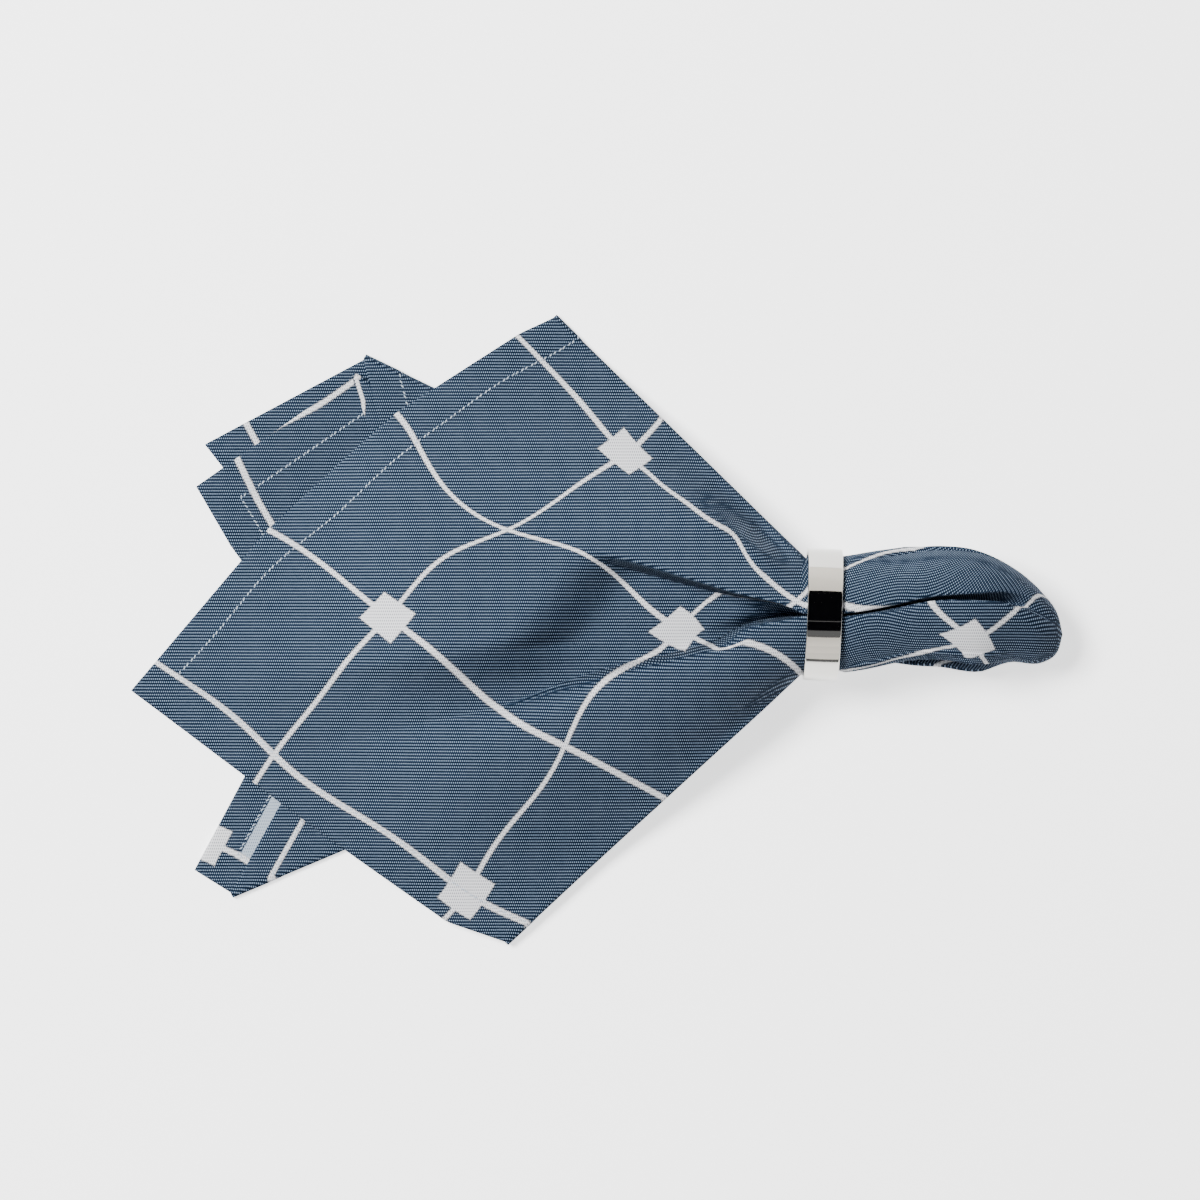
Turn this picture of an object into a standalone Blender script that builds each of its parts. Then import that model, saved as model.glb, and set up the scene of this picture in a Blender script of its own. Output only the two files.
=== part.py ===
"""A square cloth napkin, folded loosely, gathered across its middle and held by a polished metal ring.

The cloth is one sheet. Its folds run out from the middle of the square, so the sheet is laid out here by
two numbers: a place along the hem, and how far in from the hem towards the middle of the cloth. On one
side of the ring the folded layers fan out and lie on the table. On the other side the middle of the
cloth stands out of the ring as a soft, pointed puff. X runs from the fan to the puff, Y across the
gather, Z up, and the table is Z = 0. Sizes are in millimetres and degrees.
"""

import math

import bmesh
import bpy
import numpy as np

MM = 0.001

# Cloth: the square's side, the sheet's thickness, the height from one lying layer to the next, and the
# width of the slope that a layer makes past the edge of one under it, for low layers and for the top one
SIDE = 450.0
THICK = 1.0
PITCH = 2.0
DROP = 44.0
TOP_DROP = 50.0

# Folds: the cloth that a fold takes up at the hem, how far it is rounded there, and the same as a share
# of its width in the puff
FOLD_HEM = 5.0
FOLD_ROUND = 1.2
PUFF_FOLD = 0.5

# Ring
RING_OUTER = 22.5
RING_WALL = 1.2
RING_WIDTH = 11.8
RING_EDGE = 0.5
RING_X = 77.0
RING_Y = 5.2
RING_TURN = -2.3

# The gather: radii of the outermost layer and of the one under it inside the ring, that layer's height
# in the middle, its slope and its height at the sides, the places where the gather starts, enters the
# ring and leaves it, how fast it widens back from the ring, and how many layers lie under the top one
BUNDLE = 20.1
UNDER = 18.5
UNDER_LOW = 15.0
UNDER_SLOPE = 0.5
UNDER_SIDE = 21.7
BLEND_X = -5.0
NECK_X = 69.6
MOUTH_X = 84.4
SPREAD = 0.94
LEVELS = 9

# The flap fold F4 lies on the bundle's south side at the fan and nearer its top at the puff, here as
# clock angles. At the fan the top layer's line SQUEEZED, a share of its cloth from F4 to the cleft, lies
# at SQUEEZE_AT. At the puff the next layer follows the bundle's side for its last part, from FLANK, at
# the clock angle FLANK_LOW, to F4, where the fold is FLAP_GAP degrees wide.
NECK_FLAP = 181.0
MOUTH_FLAP = 146.0
SQUEEZED = 0.34
SQUEEZE_AT = 168.6
FLANK = 0.70
FLANK_LOW = 163.0
FLAP_GAP = 7.0

# Where one shape turns into the next, as shares of the way through the fan or the puff: the top layer
# draws up to its shape in the ring, the puff takes its own cross-section, its folds shift round it and
# flatten out, and its cleft opens and fades
TOP_CLOSES = (0.84, 1.00)
PUFF_SETTLES = (0.00, 0.32)
PUFF_TURNS = (0.00, 0.60)
FOLDS_FADE = (0.45, 0.70)
CLEFT_OPENS = (0.45, 0.75)
TIP_EVENS = (0.60, 0.85)


def table(columns, rows):
    """A table with named columns, as arrays."""
    names = columns.split()
    return {name: np.array([row[i] for row in rows]) for i, name in enumerate(names)}


# Folds in order round the hem. along is the distance round the hem from the corner P1, x and y the
# outermost point of the fold at the hem. before and after are the layers that it joins, 0 the top one
# and 9 the one on the table. side is the side of the gather it lies on, neck its distance across the
# gather in the ring and bulge how far it is rounded there. mouth and tip are its clock angles in the
# puff, from +Y over the top. deep is 1 for a fold tucked in towards the middle of the puff.
FOLDS = table("name along x y before after side neck bulge mouth tip deep", (
    ("F4", -155.0, -30.4, -107.8, 1, 0, -1, -18.3, 0.6, 146.0, 132.0, 0.0),
    ("F1", 207.0, -13.8, 107.8, 0, 5, 1, 17.2, 2.4, 6.0, 6.0, 0.0),
    ("H", 302.0, -51.1, 20.5, 5, 6, -1, 5.0, 1.6, -16.0, -14.0, 1.0),
    ("G1", 387.0, -79.0, 94.0, 6, 9, 1, 13.4, 3.6, -38.0, -32.0, 0.0),
    ("F2", 675.0, -18.3, -84.7, 9, 8, -1, -13.0, 1.2, -118.0, -92.0, 0.0),
    ("G3", 962.0, -83.1, 87.8, 8, 7, 1, -4.0, 1.0, -130.0, -108.0, 1.0),
    ("J1", 1098.0, -40.7, -46.7, 7, 4, -1, -13.4, 3.0, -145.0, -122.0, 0.0),
    ("J2", 1198.0, -68.3, 48.1, 4, 3, 1, -5.0, 1.0, -160.0, -138.0, 1.0),
    ("G4", 1366.0, -124.9, -91.6, 3, 2, -1, -13.4, 1.4, -175.0, -156.0, 0.0),
    ("H4", 1510.0, -58.0, 30.9, 2, 1, 1, -6.0, 1.0, -192.0, -182.0, 1.0),
    ("F4", 1645.0, -30.4, -107.8, 1, 0, -1, -18.3, 0.6, -214.0, -228.0, 0.0),
))

# Places between the folds that the hem passes through: the corners, and the bends that show
HEM = table("name along x y", (
    ("e4 near", -131.6, -51.1, -100.2),
    ("e4 middle", -83.8, -92.5, -70.9),
    ("e4 far", -54.7, -115.9, -53.6),
    ("P1", 0.0, -159.7, -20.9),
    ("e1 far", 71.5, -112.5, 34.3),
    ("e1 middle", 132.0, -68.3, 74.0),
    ("e1 near", 192.5, -26.2, 101.6),
    ("e1 curl", 364.0, -74.2, 71.9),
    ("P2", 450.0, -134.5, 63.7),
    ("e2 bend", 871.0, -123.5, 25.4),
    ("P3", 900.0, -137.3, 49.2),
    ("P4", 1350.0, -138.0, -82.6),
))

# The top layer's two ridges and the valley between them, from the hem (0) to the ring (1). The valley's
# floor is close to the south ridge's steep side, and the lip is the edge of the north lobe over it.
RIDGES = table("way south south_lift valley valley_lift lip lip_lift north north_lift", (
    (0.00, -83.0, 1.0, -42.0, 0.6, 45.0, 1.0, 98.0, 1.6),
    (0.20, -80.0, 3.0, -45.0, 1.5, 60.0, 4.6, 103.0, 5.2),
    (0.34, -76.0, 7.0, -46.0, 2.3, 76.0, 9.4, 116.0, 9.4),
    (0.48, -66.0, 12.0, -46.5, 2.7, 92.0, 13.8, 141.0, 13.4),
    (0.60, -61.0, 15.8, -40.5, 2.5, 103.0, 17.2, 156.0, 17.5),
    (0.70, -60.0, 19.8, -38.0, 2.4, 103.5, 19.7, 166.0, 20.5),
    (0.80, -60.0, 22.2, -37.0, 2.6, 103.0, 21.6, 169.0, 22.2),
    (0.88, -58.0, 23.2, -31.0, 3.0, 105.0, 22.8, 171.0, 23.4),
    (1.00, -58.0, 24.0, 58.0, 3.5, 145.3, 24.0, 176.0, 24.0),
))
SOUTH_STEEP = (2.2, 6.2)
SOUTH_STEEPENS = (0.56, 0.72)
LIP_FOOT = 0.92
LIP_RISE = 0.75
LIP_OPENS = (0.54, 0.68)
BANK = 0.42
BANK_RISE = 0.9
BANK_OPENS = (0.22, 0.40)
SOUTH_LIP = -29.4

# The cleft in the top of the gather. far is the distance past the ring as a share of the puff, south
# and north the lines of the cloth at its lips, angle its clock angle, depth and gap its size. Its floor
# is a share of its cloth, its walls are nearly upright, and its gap moves a share of each lobe aside.
CLEFT_FLOOR = 0.09
CLEFT_WALL = 1.2
LOBE_SHARE = 0.8
CLEFT = table("far south north angle depth gap", (
    (0.00, -29.4, 145.3, 90.0, 24.6, 0.75),
    (0.20, -10.0, 138.0, 85.0, 23.0, 0.95),
    (0.40, 15.0, 130.0, 79.0, 20.0, 1.10),
    (0.60, 46.0, 120.0, 72.0, 11.0, 1.90),
    (0.75, 56.0, 116.0, 68.0, 3.0, 2.60),
    (0.90, 56.0, 116.0, 66.0, 0.4, 1.50),
    (1.00, 56.0, 116.0, 66.0, 0.0, 0.00),
))

# Cross-sections of the puff. far as above, centre and half size across and up, and how deep its tucked
# folds go as a share of that size. spread says how evenly the cloth lies round it.
PUFF = table("far x y z half_y half_z tuck spread", (
    (0.00, 84.4, 5.2, 22.5, 20.1, 20.1, 0.62, 0.15),
    (0.19, 100.7, 7.0, 21.9, 18.4, 20.4, 0.60, 0.15),
    (0.37, 116.3, 7.6, 21.2, 19.3, 19.9, 0.50, 0.20),
    (0.53, 130.1, 5.9, 19.6, 20.0, 18.5, 0.28, 0.35),
    (0.69, 142.1, 4.8, 16.6, 16.2, 15.3, 0.06, 0.50),
    (0.83, 152.0, 0.9, 13.6, 11.9, 11.2, 0.00, 0.60),
    (0.93, 157.5, -1.0, 11.8, 6.4, 6.0, 0.00, 0.60),
    (1.00, 159.3, -1.6, 11.0, 0.0, 0.0, 0.00, 0.60),
))


# The sheet's rows, from the hem to the tip, and how finely it follows its folds and layers
ROWS = tuple(
    [("fan", way) for way in (0.0, 0.10, 0.22, 0.35, 0.48, 0.60, 0.71, 0.82, 0.92, 1.0)]
    + [("ring", 0.5), ("ring", 1.0)]
    + [("puff", far) for far in (0.13, 0.26, 0.38, 0.49, 0.60, 0.71, 0.82, 0.93)])
LAYER_STEPS = 8
TOP_STEPS = (7, 4, 1, 5, 2, 5)
FOLD_STEPS = 4
RING_STEPS = 64


def smooth(value, low, high):
    """0 below low, 1 above high, and a soft slope between."""
    part = np.clip((value - low) / (high - low), 0.0, 1.0)
    return part * part * (3.0 - 2.0 * part)


def curve(value, knots, heights):
    """A smooth line through a table's values."""
    slopes = np.gradient(heights, knots)
    index = np.clip(np.searchsorted(knots, value) - 1, 0, len(knots) - 2)
    width = knots[index + 1] - knots[index]
    part = np.clip((value - knots[index]) / width, 0.0, 1.0)
    start = heights[index] * (1 + 2 * part) * (1 - part) ** 2
    end = heights[index + 1] * (3 - 2 * part) * part ** 2
    lean = width * part * (1 - part) * (slopes[index] * (1 - part) - slopes[index + 1] * part)
    return start + end + lean


def bearing(along):
    """The direction from the middle of the flat cloth to a place on the hem of its first two edges."""
    side = np.where(along < 0.0, 270.0, 180.0)
    run = np.where(along < 0.0, -along, along) - SIDE / 2
    return side + np.sign(side - 200.0) * np.degrees(np.arctan(run / (SIDE / 2)))


def outside(x, y, corners):
    """How far points lie outside a plan outline, 0 for those on it."""
    inside = np.zeros(x.shape, bool)
    nearest = np.full(x.shape, 1e9)
    for (ax, ay), (bx, by) in zip(corners, np.roll(corners, -1, axis=0)):
        run = ((x - ax) * (bx - ax) + (y - ay) * (by - ay)) / ((bx - ax) ** 2 + (by - ay) ** 2)
        run = np.clip(run, 0.0, 1.0)
        nearest = np.minimum(nearest, np.hypot(x - ax - run * (bx - ax), y - ay - run * (by - ay)))
        if ay != by:
            crosses = (ay > y) != (by > y)
            inside ^= crosses & (x < ax + (y - ay) * (bx - ax) / (by - ay))
    return np.where(inside, 0.0, nearest)


def fold_outward(fold):
    """The direction in plan in which a fold is rounded at the hem: square to its line, on its side."""
    line = np.array([NECK_X - FOLDS["x"][fold], RING_Y - FOLDS["y"][fold]])
    line = line / np.hypot(*line)
    outward = np.array([-line[1], line[0]])
    return outward * FOLDS["side"][fold] * np.sign(outward[1])


def hem_plan(along):
    """Where the hem lies on the table, with each fold's point set back by the fold's own roundness."""
    knots = [HEM["along"]]
    xs = [HEM["x"]]
    ys = [HEM["y"]]
    for fold in range(len(FOLDS["along"])):
        back = FOLD_ROUND * fold_outward(fold)
        knots.append(FOLDS["along"][fold] + FOLD_HEM / 2 * np.array([-1.0, 1.0]))
        xs.append(np.full(2, FOLDS["x"][fold] - back[0]))
        ys.append(np.full(2, FOLDS["y"][fold] - back[1]))
    knots, xs, ys = (np.concatenate(part) for part in (knots, xs, ys))
    order = np.argsort(knots)
    return np.interp(along, knots[order], xs[order]), np.interp(along, knots[order], ys[order])


def layer_outline(layer):
    """A layer's outline in plan: its hem, and the two sides of the gather."""
    start = FOLDS["along"][layer]
    end = FOLDS["along"][layer + 1]
    corners = HEM["along"][(HEM["along"] > start) & (HEM["along"] < end)]
    alongs = np.concatenate(([start], corners, [end]))
    x, y = hem_plan(alongs)
    sides = FOLDS["side"][[layer + 1, layer]] * BUNDLE + RING_Y
    return np.column_stack((np.append(x, (NECK_X, NECK_X)), np.append(y, sides)))


def lying_height(level, x, y):
    """Height of a layer in the fan: it lies on the ones below it, and slopes down past their edges."""
    width = DROP + (TOP_DROP - DROP) * (1.0 if level == 0 else 0.0)
    height = np.full(x.shape, THICK / 2)
    for layer in range(len(FOLDS["along"]) - 1):
        if FOLDS["after"][layer] > level:
            gone = smooth(outside(x, y, layer_outline(layer)), 0.0, width)
            height = height + PITCH * (1.0 - gone)
    return height


def bundle_height(level, across):
    """Height of a layer inside the ring, at a distance across the gather from the ring's axis."""
    arc = np.sqrt(np.maximum(UNDER ** 2 - across ** 2, 0.0))
    roof = np.minimum(np.minimum(UNDER_LOW + UNDER_SLOPE * np.abs(across), UNDER_SIDE), RING_OUTER + arc)
    floor = RING_OUTER - np.sqrt(np.maximum(BUNDLE ** 2 - across ** 2, 0.0))
    return floor + (LEVELS - level) / (LEVELS - 1) * (roof - floor)


def top_lines(row, steps):
    """The lines of the cloth that the top layer's columns follow on a row: its edges, the crests or lips
    on each side of its valley, the two sides of the valley's narrow floor and the foot of the north lip,
    with steps between them."""
    part, amount = row
    if part == "fan":
        south, valley, north = (
            curve(amount, RIDGES["way"], RIDGES[name]) for name in ("south", "valley", "lip"))
        south = south + (SOUTH_LIP - south) * smooth(amount, *TOP_CLOSES)
    else:
        far = amount if part == "puff" else 0.0
        south, north = (curve(far, CLEFT["far"], CLEFT[name]) for name in ("south", "north"))
        valley = (south + north) / 2
    floor = CLEFT_FLOOR * (valley - south) * 0.8
    foot = valley + (north - valley) * LIP_FOOT
    first = FOLDS["along"][0] + FOLD_HEM / 2
    last = FOLDS["along"][1] - FOLD_HEM / 2
    knots = (first, south, valley - floor, valley + floor, foot, north, last)
    lines = np.interp(np.linspace(0, 1, sum(steps) + 1), np.cumsum((0,) + steps) / sum(steps), knots)
    even = smooth(amount, *TIP_EVENS) if part == "puff" else 0.0
    return lines * (1 - even) + np.linspace(first, last, len(lines)) * even


def top_lift(along, way, first_lift, last_lift):
    """How far the top layer is above its lying height: level at both hems' folds and both crests. From
    the valley's floor the south side rises steeply and then rounds off, as 1 less a power of the way
    left, and the north side first rises gently to the foot of its lip and then steeply."""
    first = FOLDS["along"][0] + FOLD_HEM / 2
    last = FOLDS["along"][1] - FOLD_HEM / 2
    south, valley, lip, north = (
        curve(way, RIDGES["way"], RIDGES[name]) for name in ("south", "valley", "lip", "north"))
    south_lift, valley_lift, lip_lift, north_lift = (
        curve(way, RIDGES["way"], RIDGES[name + "_lift"]) for name in ("south", "valley", "lip", "north"))
    to_south = smooth(along, first, south)
    up_south = np.clip((valley - along) / (valley - south), 0.0, 1.0)
    up_lip = np.clip((along - valley) / (lip - valley), 0.0, 1.0)
    to_north = np.clip((along - lip) / (north - lip), 0.0, 1.0)
    to_last = smooth(along, north, last)
    low, high = SOUTH_STEEP
    power = low + (high - low) * smooth(way, *SOUTH_STEEPENS)
    opened = smooth(way, *LIP_OPENS)
    banked = smooth(way, *BANK_OPENS)
    bank = BANK_RISE * smooth(up_lip, 0.0, BANK) + (1 - BANK_RISE) * up_lip
    round_side = bank * banked + up_lip * (2 - up_lip) * (1 - banked)
    lip_side = (1 - LIP_RISE) * up_lip + LIP_RISE * smooth(up_lip, LIP_FOOT, 1.0)
    shoulder = smooth(to_north, 0.0, 1.0) * (1 - opened) + to_north * (2 - to_north) * opened
    outer = first_lift + (south_lift - first_lift) * to_south
    flank = valley_lift + (south_lift - valley_lift) * (1 - (1 - up_south) ** power)
    inner = valley_lift + (lip_lift - valley_lift) * (round_side * (1 - opened) + lip_side * opened)
    crown = lip_lift + (north_lift - lip_lift) * shoulder
    fall = north_lift + (last_lift - north_lift) * to_last
    before = [along <= south, along <= valley, along <= lip, along <= north]
    return np.select(before, [outer, flank, inner, crown], fall)


def top_section(along, far, first_angle, last_angle, half_y, half_z, squeeze):
    """The top layer across a section: two lobes on an oval, and the cleft between them. squeeze is 1
    where the south lobe's cloth is squeezed towards the flap fold."""
    south, north, angle, depth, gap = (
        curve(far, CLEFT["far"], CLEFT[name]) for name in ("south", "north", "angle", "depth", "gap"))
    first = FOLDS["along"][0] + FOLD_HEM / 2
    last = FOLDS["along"][1] - FOLD_HEM / 2
    to_first, to_south, to_north, to_last = (bearing(np.array(line)) for line in (first, south, north, last))
    lobe = (bearing(along) - to_first) / (to_south - to_first)
    knot = first_angle + (angle - first_angle) * SQUEEZED
    knot = knot + (SQUEEZE_AT - knot) * squeeze
    lobe_south = np.interp(lobe, (0.0, SQUEEZED, 1.0), (first_angle, knot, angle))
    lobe_north = angle + (last_angle - angle) * (bearing(along) - to_north) / (to_last - to_north)
    turn = np.radians(np.where(along < south, lobe_south, np.where(along > north, lobe_north, angle)))
    place = np.clip(2 * (along - south) / (north - south) - 1, -1.0, 1.0)
    down = depth * (1 - np.abs(place) ** CLEFT_WALL)
    off_lip = np.maximum((south - along) / (south - first), (along - north) / (last - north))
    open_part = smooth(far, *CLEFT_OPENS)
    upright = np.minimum(np.abs(place) / CLEFT_FLOOR, 1.0) ** 0.5
    aside = np.sign(place) * gap * (upright * (1 - open_part) + np.abs(place) * open_part)
    aside = aside * (1 - smooth(off_lip, 0.0, LOBE_SHARE))
    slant = math.radians(angle)
    across = half_y * np.cos(turn) - down * math.cos(slant) + aside * math.sin(slant)
    up = half_z * np.sin(turn) - down * math.sin(slant) - aside * math.cos(slant)
    return across, up


def share(layer, along):
    """How far a place along the hem is from a layer's first fold to its last."""
    first = FOLDS["along"][layer] + FOLD_HEM / 2
    last = FOLDS["along"][layer + 1] - FOLD_HEM / 2
    return (along - first) / (last - first)


def ring_section(layer, along, flank):
    """A layer across the ring, from the ring's axis. flank is 1 where the top layer reaches down the
    bundle's south side, on the fan's side of the ring, and 0 on the puff's side."""
    part = share(layer, along)
    across = FOLDS["neck"][layer] + (FOLDS["neck"][layer + 1] - FOLDS["neck"][layer]) * part
    up = bundle_height(FOLDS["after"][layer], across) - RING_OUTER
    if layer == 0:
        last_angle = math.degrees(math.acos(FOLDS["neck"][1] / BUNDLE))
        return top_section(along, 0.0, MOUTH_FLAP + (NECK_FLAP - MOUTH_FLAP) * flank, last_angle,
                           BUNDLE, BUNDLE, flank)
    if layer == 9:
        high = MOUTH_FLAP + FLAP_GAP
        turn = np.radians(FLANK_LOW + (high - FLANK_LOW) * (part - FLANK) / (1 - FLANK))
        reach = np.clip(part / FLANK, 0.0, 1.0)
        low = FOLDS["neck"][9]
        edge = BUNDLE * math.cos(math.radians(FLANK_LOW))
        rise = BUNDLE * math.sin(math.radians(FLANK_LOW)) - (UNDER_SIDE - RING_OUTER)
        puff_across = np.where(part > FLANK, BUNDLE * np.cos(turn), low + (edge - low) * reach)
        puff_up = np.where(part > FLANK, BUNDLE * np.sin(turn),
                           bundle_height(1, puff_across) - RING_OUTER + rise * reach ** 3)
        across = across * flank + puff_across * (1 - flank)
        up = up * flank + puff_up * (1 - flank)
    return across, up


def fan_points(layer, along, way):
    """Points of a layer in the fan, a share of the way from the hem to the ring."""
    level = FOLDS["after"][layer]
    hem_x, hem_y = hem_plan(along)
    across, up = ring_section(layer, along, 1.0)
    x = hem_x + (NECK_X - hem_x) * way
    y = hem_y + (RING_Y + across - hem_y) * way
    gather = smooth(x, BLEND_X, NECK_X)
    reach = BUNDLE + SPREAD * (NECK_X - x)
    bundled = bundle_height(level, (y - RING_Y) * BUNDLE / reach)
    lying = lying_height(level, x, y)
    if layer > 0:
        return x, y, lying * (1 - gather) + bundled * gather
    first_lift = edge_lift(9, FOLDS["along"][10] - FOLD_HEM / 2, way)
    last_lift = edge_lift(1, FOLDS["along"][1] + FOLD_HEM / 2, way)
    z = lying + top_lift(along, way, first_lift, last_lift)
    if way > TOP_CLOSES[0]:
        close = smooth(way, *TOP_CLOSES)
        south = FOLDS["along"][0] + FOLD_HEM / 2
        north = FOLDS["along"][1] - FOLD_HEM / 2
        edge, valley, lip = (curve(way, RIDGES["way"], RIDGES[name]) for name in ("south", "valley", "lip"))
        edge = valley + (edge - valley) * 0.25
        edge = edge + (SOUTH_LIP - edge) * close
        ring_valley = (SOUTH_LIP + RIDGES["lip"][-1]) / 2
        matched = np.interp(along, (south, edge, valley, lip, north),
                            (south, SOUTH_LIP, ring_valley, RIDGES["lip"][-1], north))
        across, up = ring_section(layer, matched, 1.0)
        z = z * (1 - close) + (RING_OUTER + up) * close
    return x, y, z


def edge_lift(layer, along, way):
    """How far above its lying height the top layer starts, to sit on the layer that its fold joins it to."""
    x, y, z = fan_points(layer, np.array([along]), way)
    return float((z + PITCH - lying_height(0, x, y))[0])


def puff_points(layer, along, far):
    """Points of a layer past the ring, a share of the way from the ring to the tip."""
    settle = smooth(far, *PUFF_SETTLES)
    turned = smooth(far, *PUFF_TURNS)
    x, centre_y, centre_z, half_y, half_z, tuck, spread = (
        curve(far, PUFF["far"], PUFF[name]) for name in ("x", "y", "z", "half_y", "half_z", "tuck", "spread"))
    part = share(layer, along)
    angle = FOLDS["mouth"] + (FOLDS["tip"] - FOLDS["mouth"]) * turned
    if layer == 0:
        across, up = top_section(along, far, angle[0], angle[1], half_y, half_z, 0.0)
    else:
        even = 1.0 if layer == 3 else spread
        turn = np.radians(angle[layer] + (angle[layer + 1] - angle[layer]) * (0.5 + (part - 0.5) * even))
        deep = FOLDS["deep"][layer] + (FOLDS["deep"][layer + 1] - FOLDS["deep"][layer]) * part
        if layer == 9:
            low = FLANK_LOW - 360.0 + (FOLDS["tip"][10] - FOLDS["mouth"][10]) * turned
            turn = np.radians(np.interp(part, (0.0, FLANK, 1.0), (angle[9], low, angle[10] + FLAP_GAP)))
            deep = np.maximum(1.0 - part / FLANK, 0.0)
        across = half_y * (1 - tuck * deep) * np.cos(turn)
        up = half_z * (1 - tuck * deep) * np.sin(turn)
    mouth_across, mouth_up = ring_section(layer, along, 0.0)
    y = centre_y + across * settle + mouth_across * (1 - settle)
    z = centre_z + up * settle + mouth_up * (1 - settle)
    return np.full(y.shape, x), y, z


def layer_points(layer, along, row):
    """Points of a layer on one of the sheet's rows: fan, ring or puff, and how far through it."""
    part, amount = row
    if part == "fan":
        return np.array(fan_points(layer, along, amount))
    if part == "puff":
        return np.array(puff_points(layer, along, amount))
    across, up = ring_section(layer, along, 1.0 - amount)
    x = np.full(across.shape, NECK_X + (MOUTH_X - NECK_X) * amount)
    return np.array((x, RING_Y + across, RING_OUTER + up))


def fold_bulge(fold, row, into, out):
    """The way a fold is rounded on a row, and how far: square to the fold's line and to the gap between
    the two layers that it joins, away from them. Their last and first points are given."""
    part, amount = row
    gap = out[:, 0] - into[:, 1]
    width = np.linalg.norm(gap)
    line = np.array((1.0, 0.0, 0.0))
    size = FOLDS["bulge"][fold]
    if part == "fan":
        line = np.array((NECK_X - FOLDS["x"][fold], RING_Y + FOLDS["neck"][fold] - FOLDS["y"][fold], 0.0))
        size = FOLD_ROUND + (size - FOLD_ROUND) * amount
    if part == "puff":
        size = min(size, PUFF_FOLD * width * (1.0 - smooth(amount, *FOLDS_FADE)))
    way = np.cross(line, gap)
    way = way * np.sign(way @ (into[:, 1] + out[:, 0] - into[:, 0] - out[:, 1]))
    return way / np.linalg.norm(way) * size


def inside_ring(points):
    """Points drawn in, where need be, to the round space inside the ring."""
    axis = np.array((0.0, RING_Y, RING_OUTER))
    across = (points - axis) * (0.0, 1.0, 1.0)
    distance = np.linalg.norm(across, axis=1, keepdims=True)
    return points - across * (1 - np.minimum(1.0, BUNDLE / np.maximum(distance, BUNDLE / 2)))


def sheet_rows(rows, layer_steps, top_steps, fold_steps):
    """The cloth's middle surface: for each row, points all the way round the hem."""
    grid = []
    for row in rows:
        ring = []
        for layer in range(len(FOLDS["along"]) - 1):
            before = (layer - 1) % (len(FOLDS["along"]) - 1)
            end = FOLDS["along"][before + 1] - FOLD_HEM / 2
            start = FOLDS["along"][layer] + FOLD_HEM / 2
            into = layer_points(before, np.array([end - FOLD_HEM, end]), row)
            out = layer_points(layer, np.array([start, start + FOLD_HEM]), row)
            phase = np.linspace(0, math.pi, fold_steps + 2)[1:-1]
            mix = (1 - np.cos(phase)) / 2
            arc = into[:, 1:] * (1 - mix) + out[:, :1] * mix
            ring.append(arc + fold_bulge(layer, row, into, out)[:, None] * np.sin(phase))
            stop = FOLDS["along"][layer + 1] - FOLD_HEM / 2
            along = np.linspace(start, stop, layer_steps + 1)
            if layer == 0:
                along = top_lines(row, top_steps)
            for corner in HEM["along"][HEM["along"] % SIDE == 0.0]:
                if start < corner < stop and row == ("fan", 0.0):
                    along[np.argmin(np.abs(along - corner))] = corner
            ring.append(layer_points(layer, along, row))
        ring = np.concatenate(ring, axis=1).T
        if row in (("fan", 1.0), ("ring", 0.5), ("ring", 1.0)):
            ring = inside_ring(ring)
        grid.append(ring)
    return np.array(grid)


def fill_grid(name, grid, tip):
    """An open surface on the sheet's rows, closed to one point at the tip."""
    rows, columns, _ = grid.shape
    mesh = bmesh.new()
    points = [[mesh.verts.new(point) for point in row] for row in grid * MM]
    centre = mesh.verts.new([value * MM for value in tip])
    for row in range(rows - 1):
        for column in range(columns):
            after = (column + 1) % columns
            mesh.faces.new((points[row][column], points[row][after],
                            points[row + 1][after], points[row + 1][column]))
    for column in range(columns):
        mesh.faces.new((points[-1][column], points[-1][(column + 1) % columns], centre))
    data = bpy.data.meshes.new(name)
    mesh.to_mesh(data)
    mesh.free()
    return data


def material(name, colour, roughness, metallic):
    """A plain surface finish."""
    made = bpy.data.materials.new(name)
    made.use_nodes = True
    shader = made.node_tree.nodes["Principled BSDF"]
    shader.inputs["Base Color"].default_value = (*colour, 1.0)
    shader.inputs["Roughness"].default_value = roughness
    shader.inputs["Metallic"].default_value = metallic
    return made


def add_cloth(collection):
    """The napkin: one hemmed sheet."""
    grid = sheet_rows(ROWS, LAYER_STEPS, TOP_STEPS, FOLD_STEPS)
    tip = (PUFF["x"][-1], PUFF["y"][-1], PUFF["z"][-1])
    cloth = bpy.data.objects.new("napkin_cloth", fill_grid("napkin_cloth", grid, tip))
    collection.objects.link(cloth)
    solid = cloth.modifiers.new("Sheet", "SOLIDIFY")
    solid.thickness = THICK * MM
    solid.offset = 0.0
    cloth.data.materials.append(material("blue_cotton", (0.09, 0.14, 0.21), 0.85, 0.0))
    cloth.data.shade_smooth()
    return cloth


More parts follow.
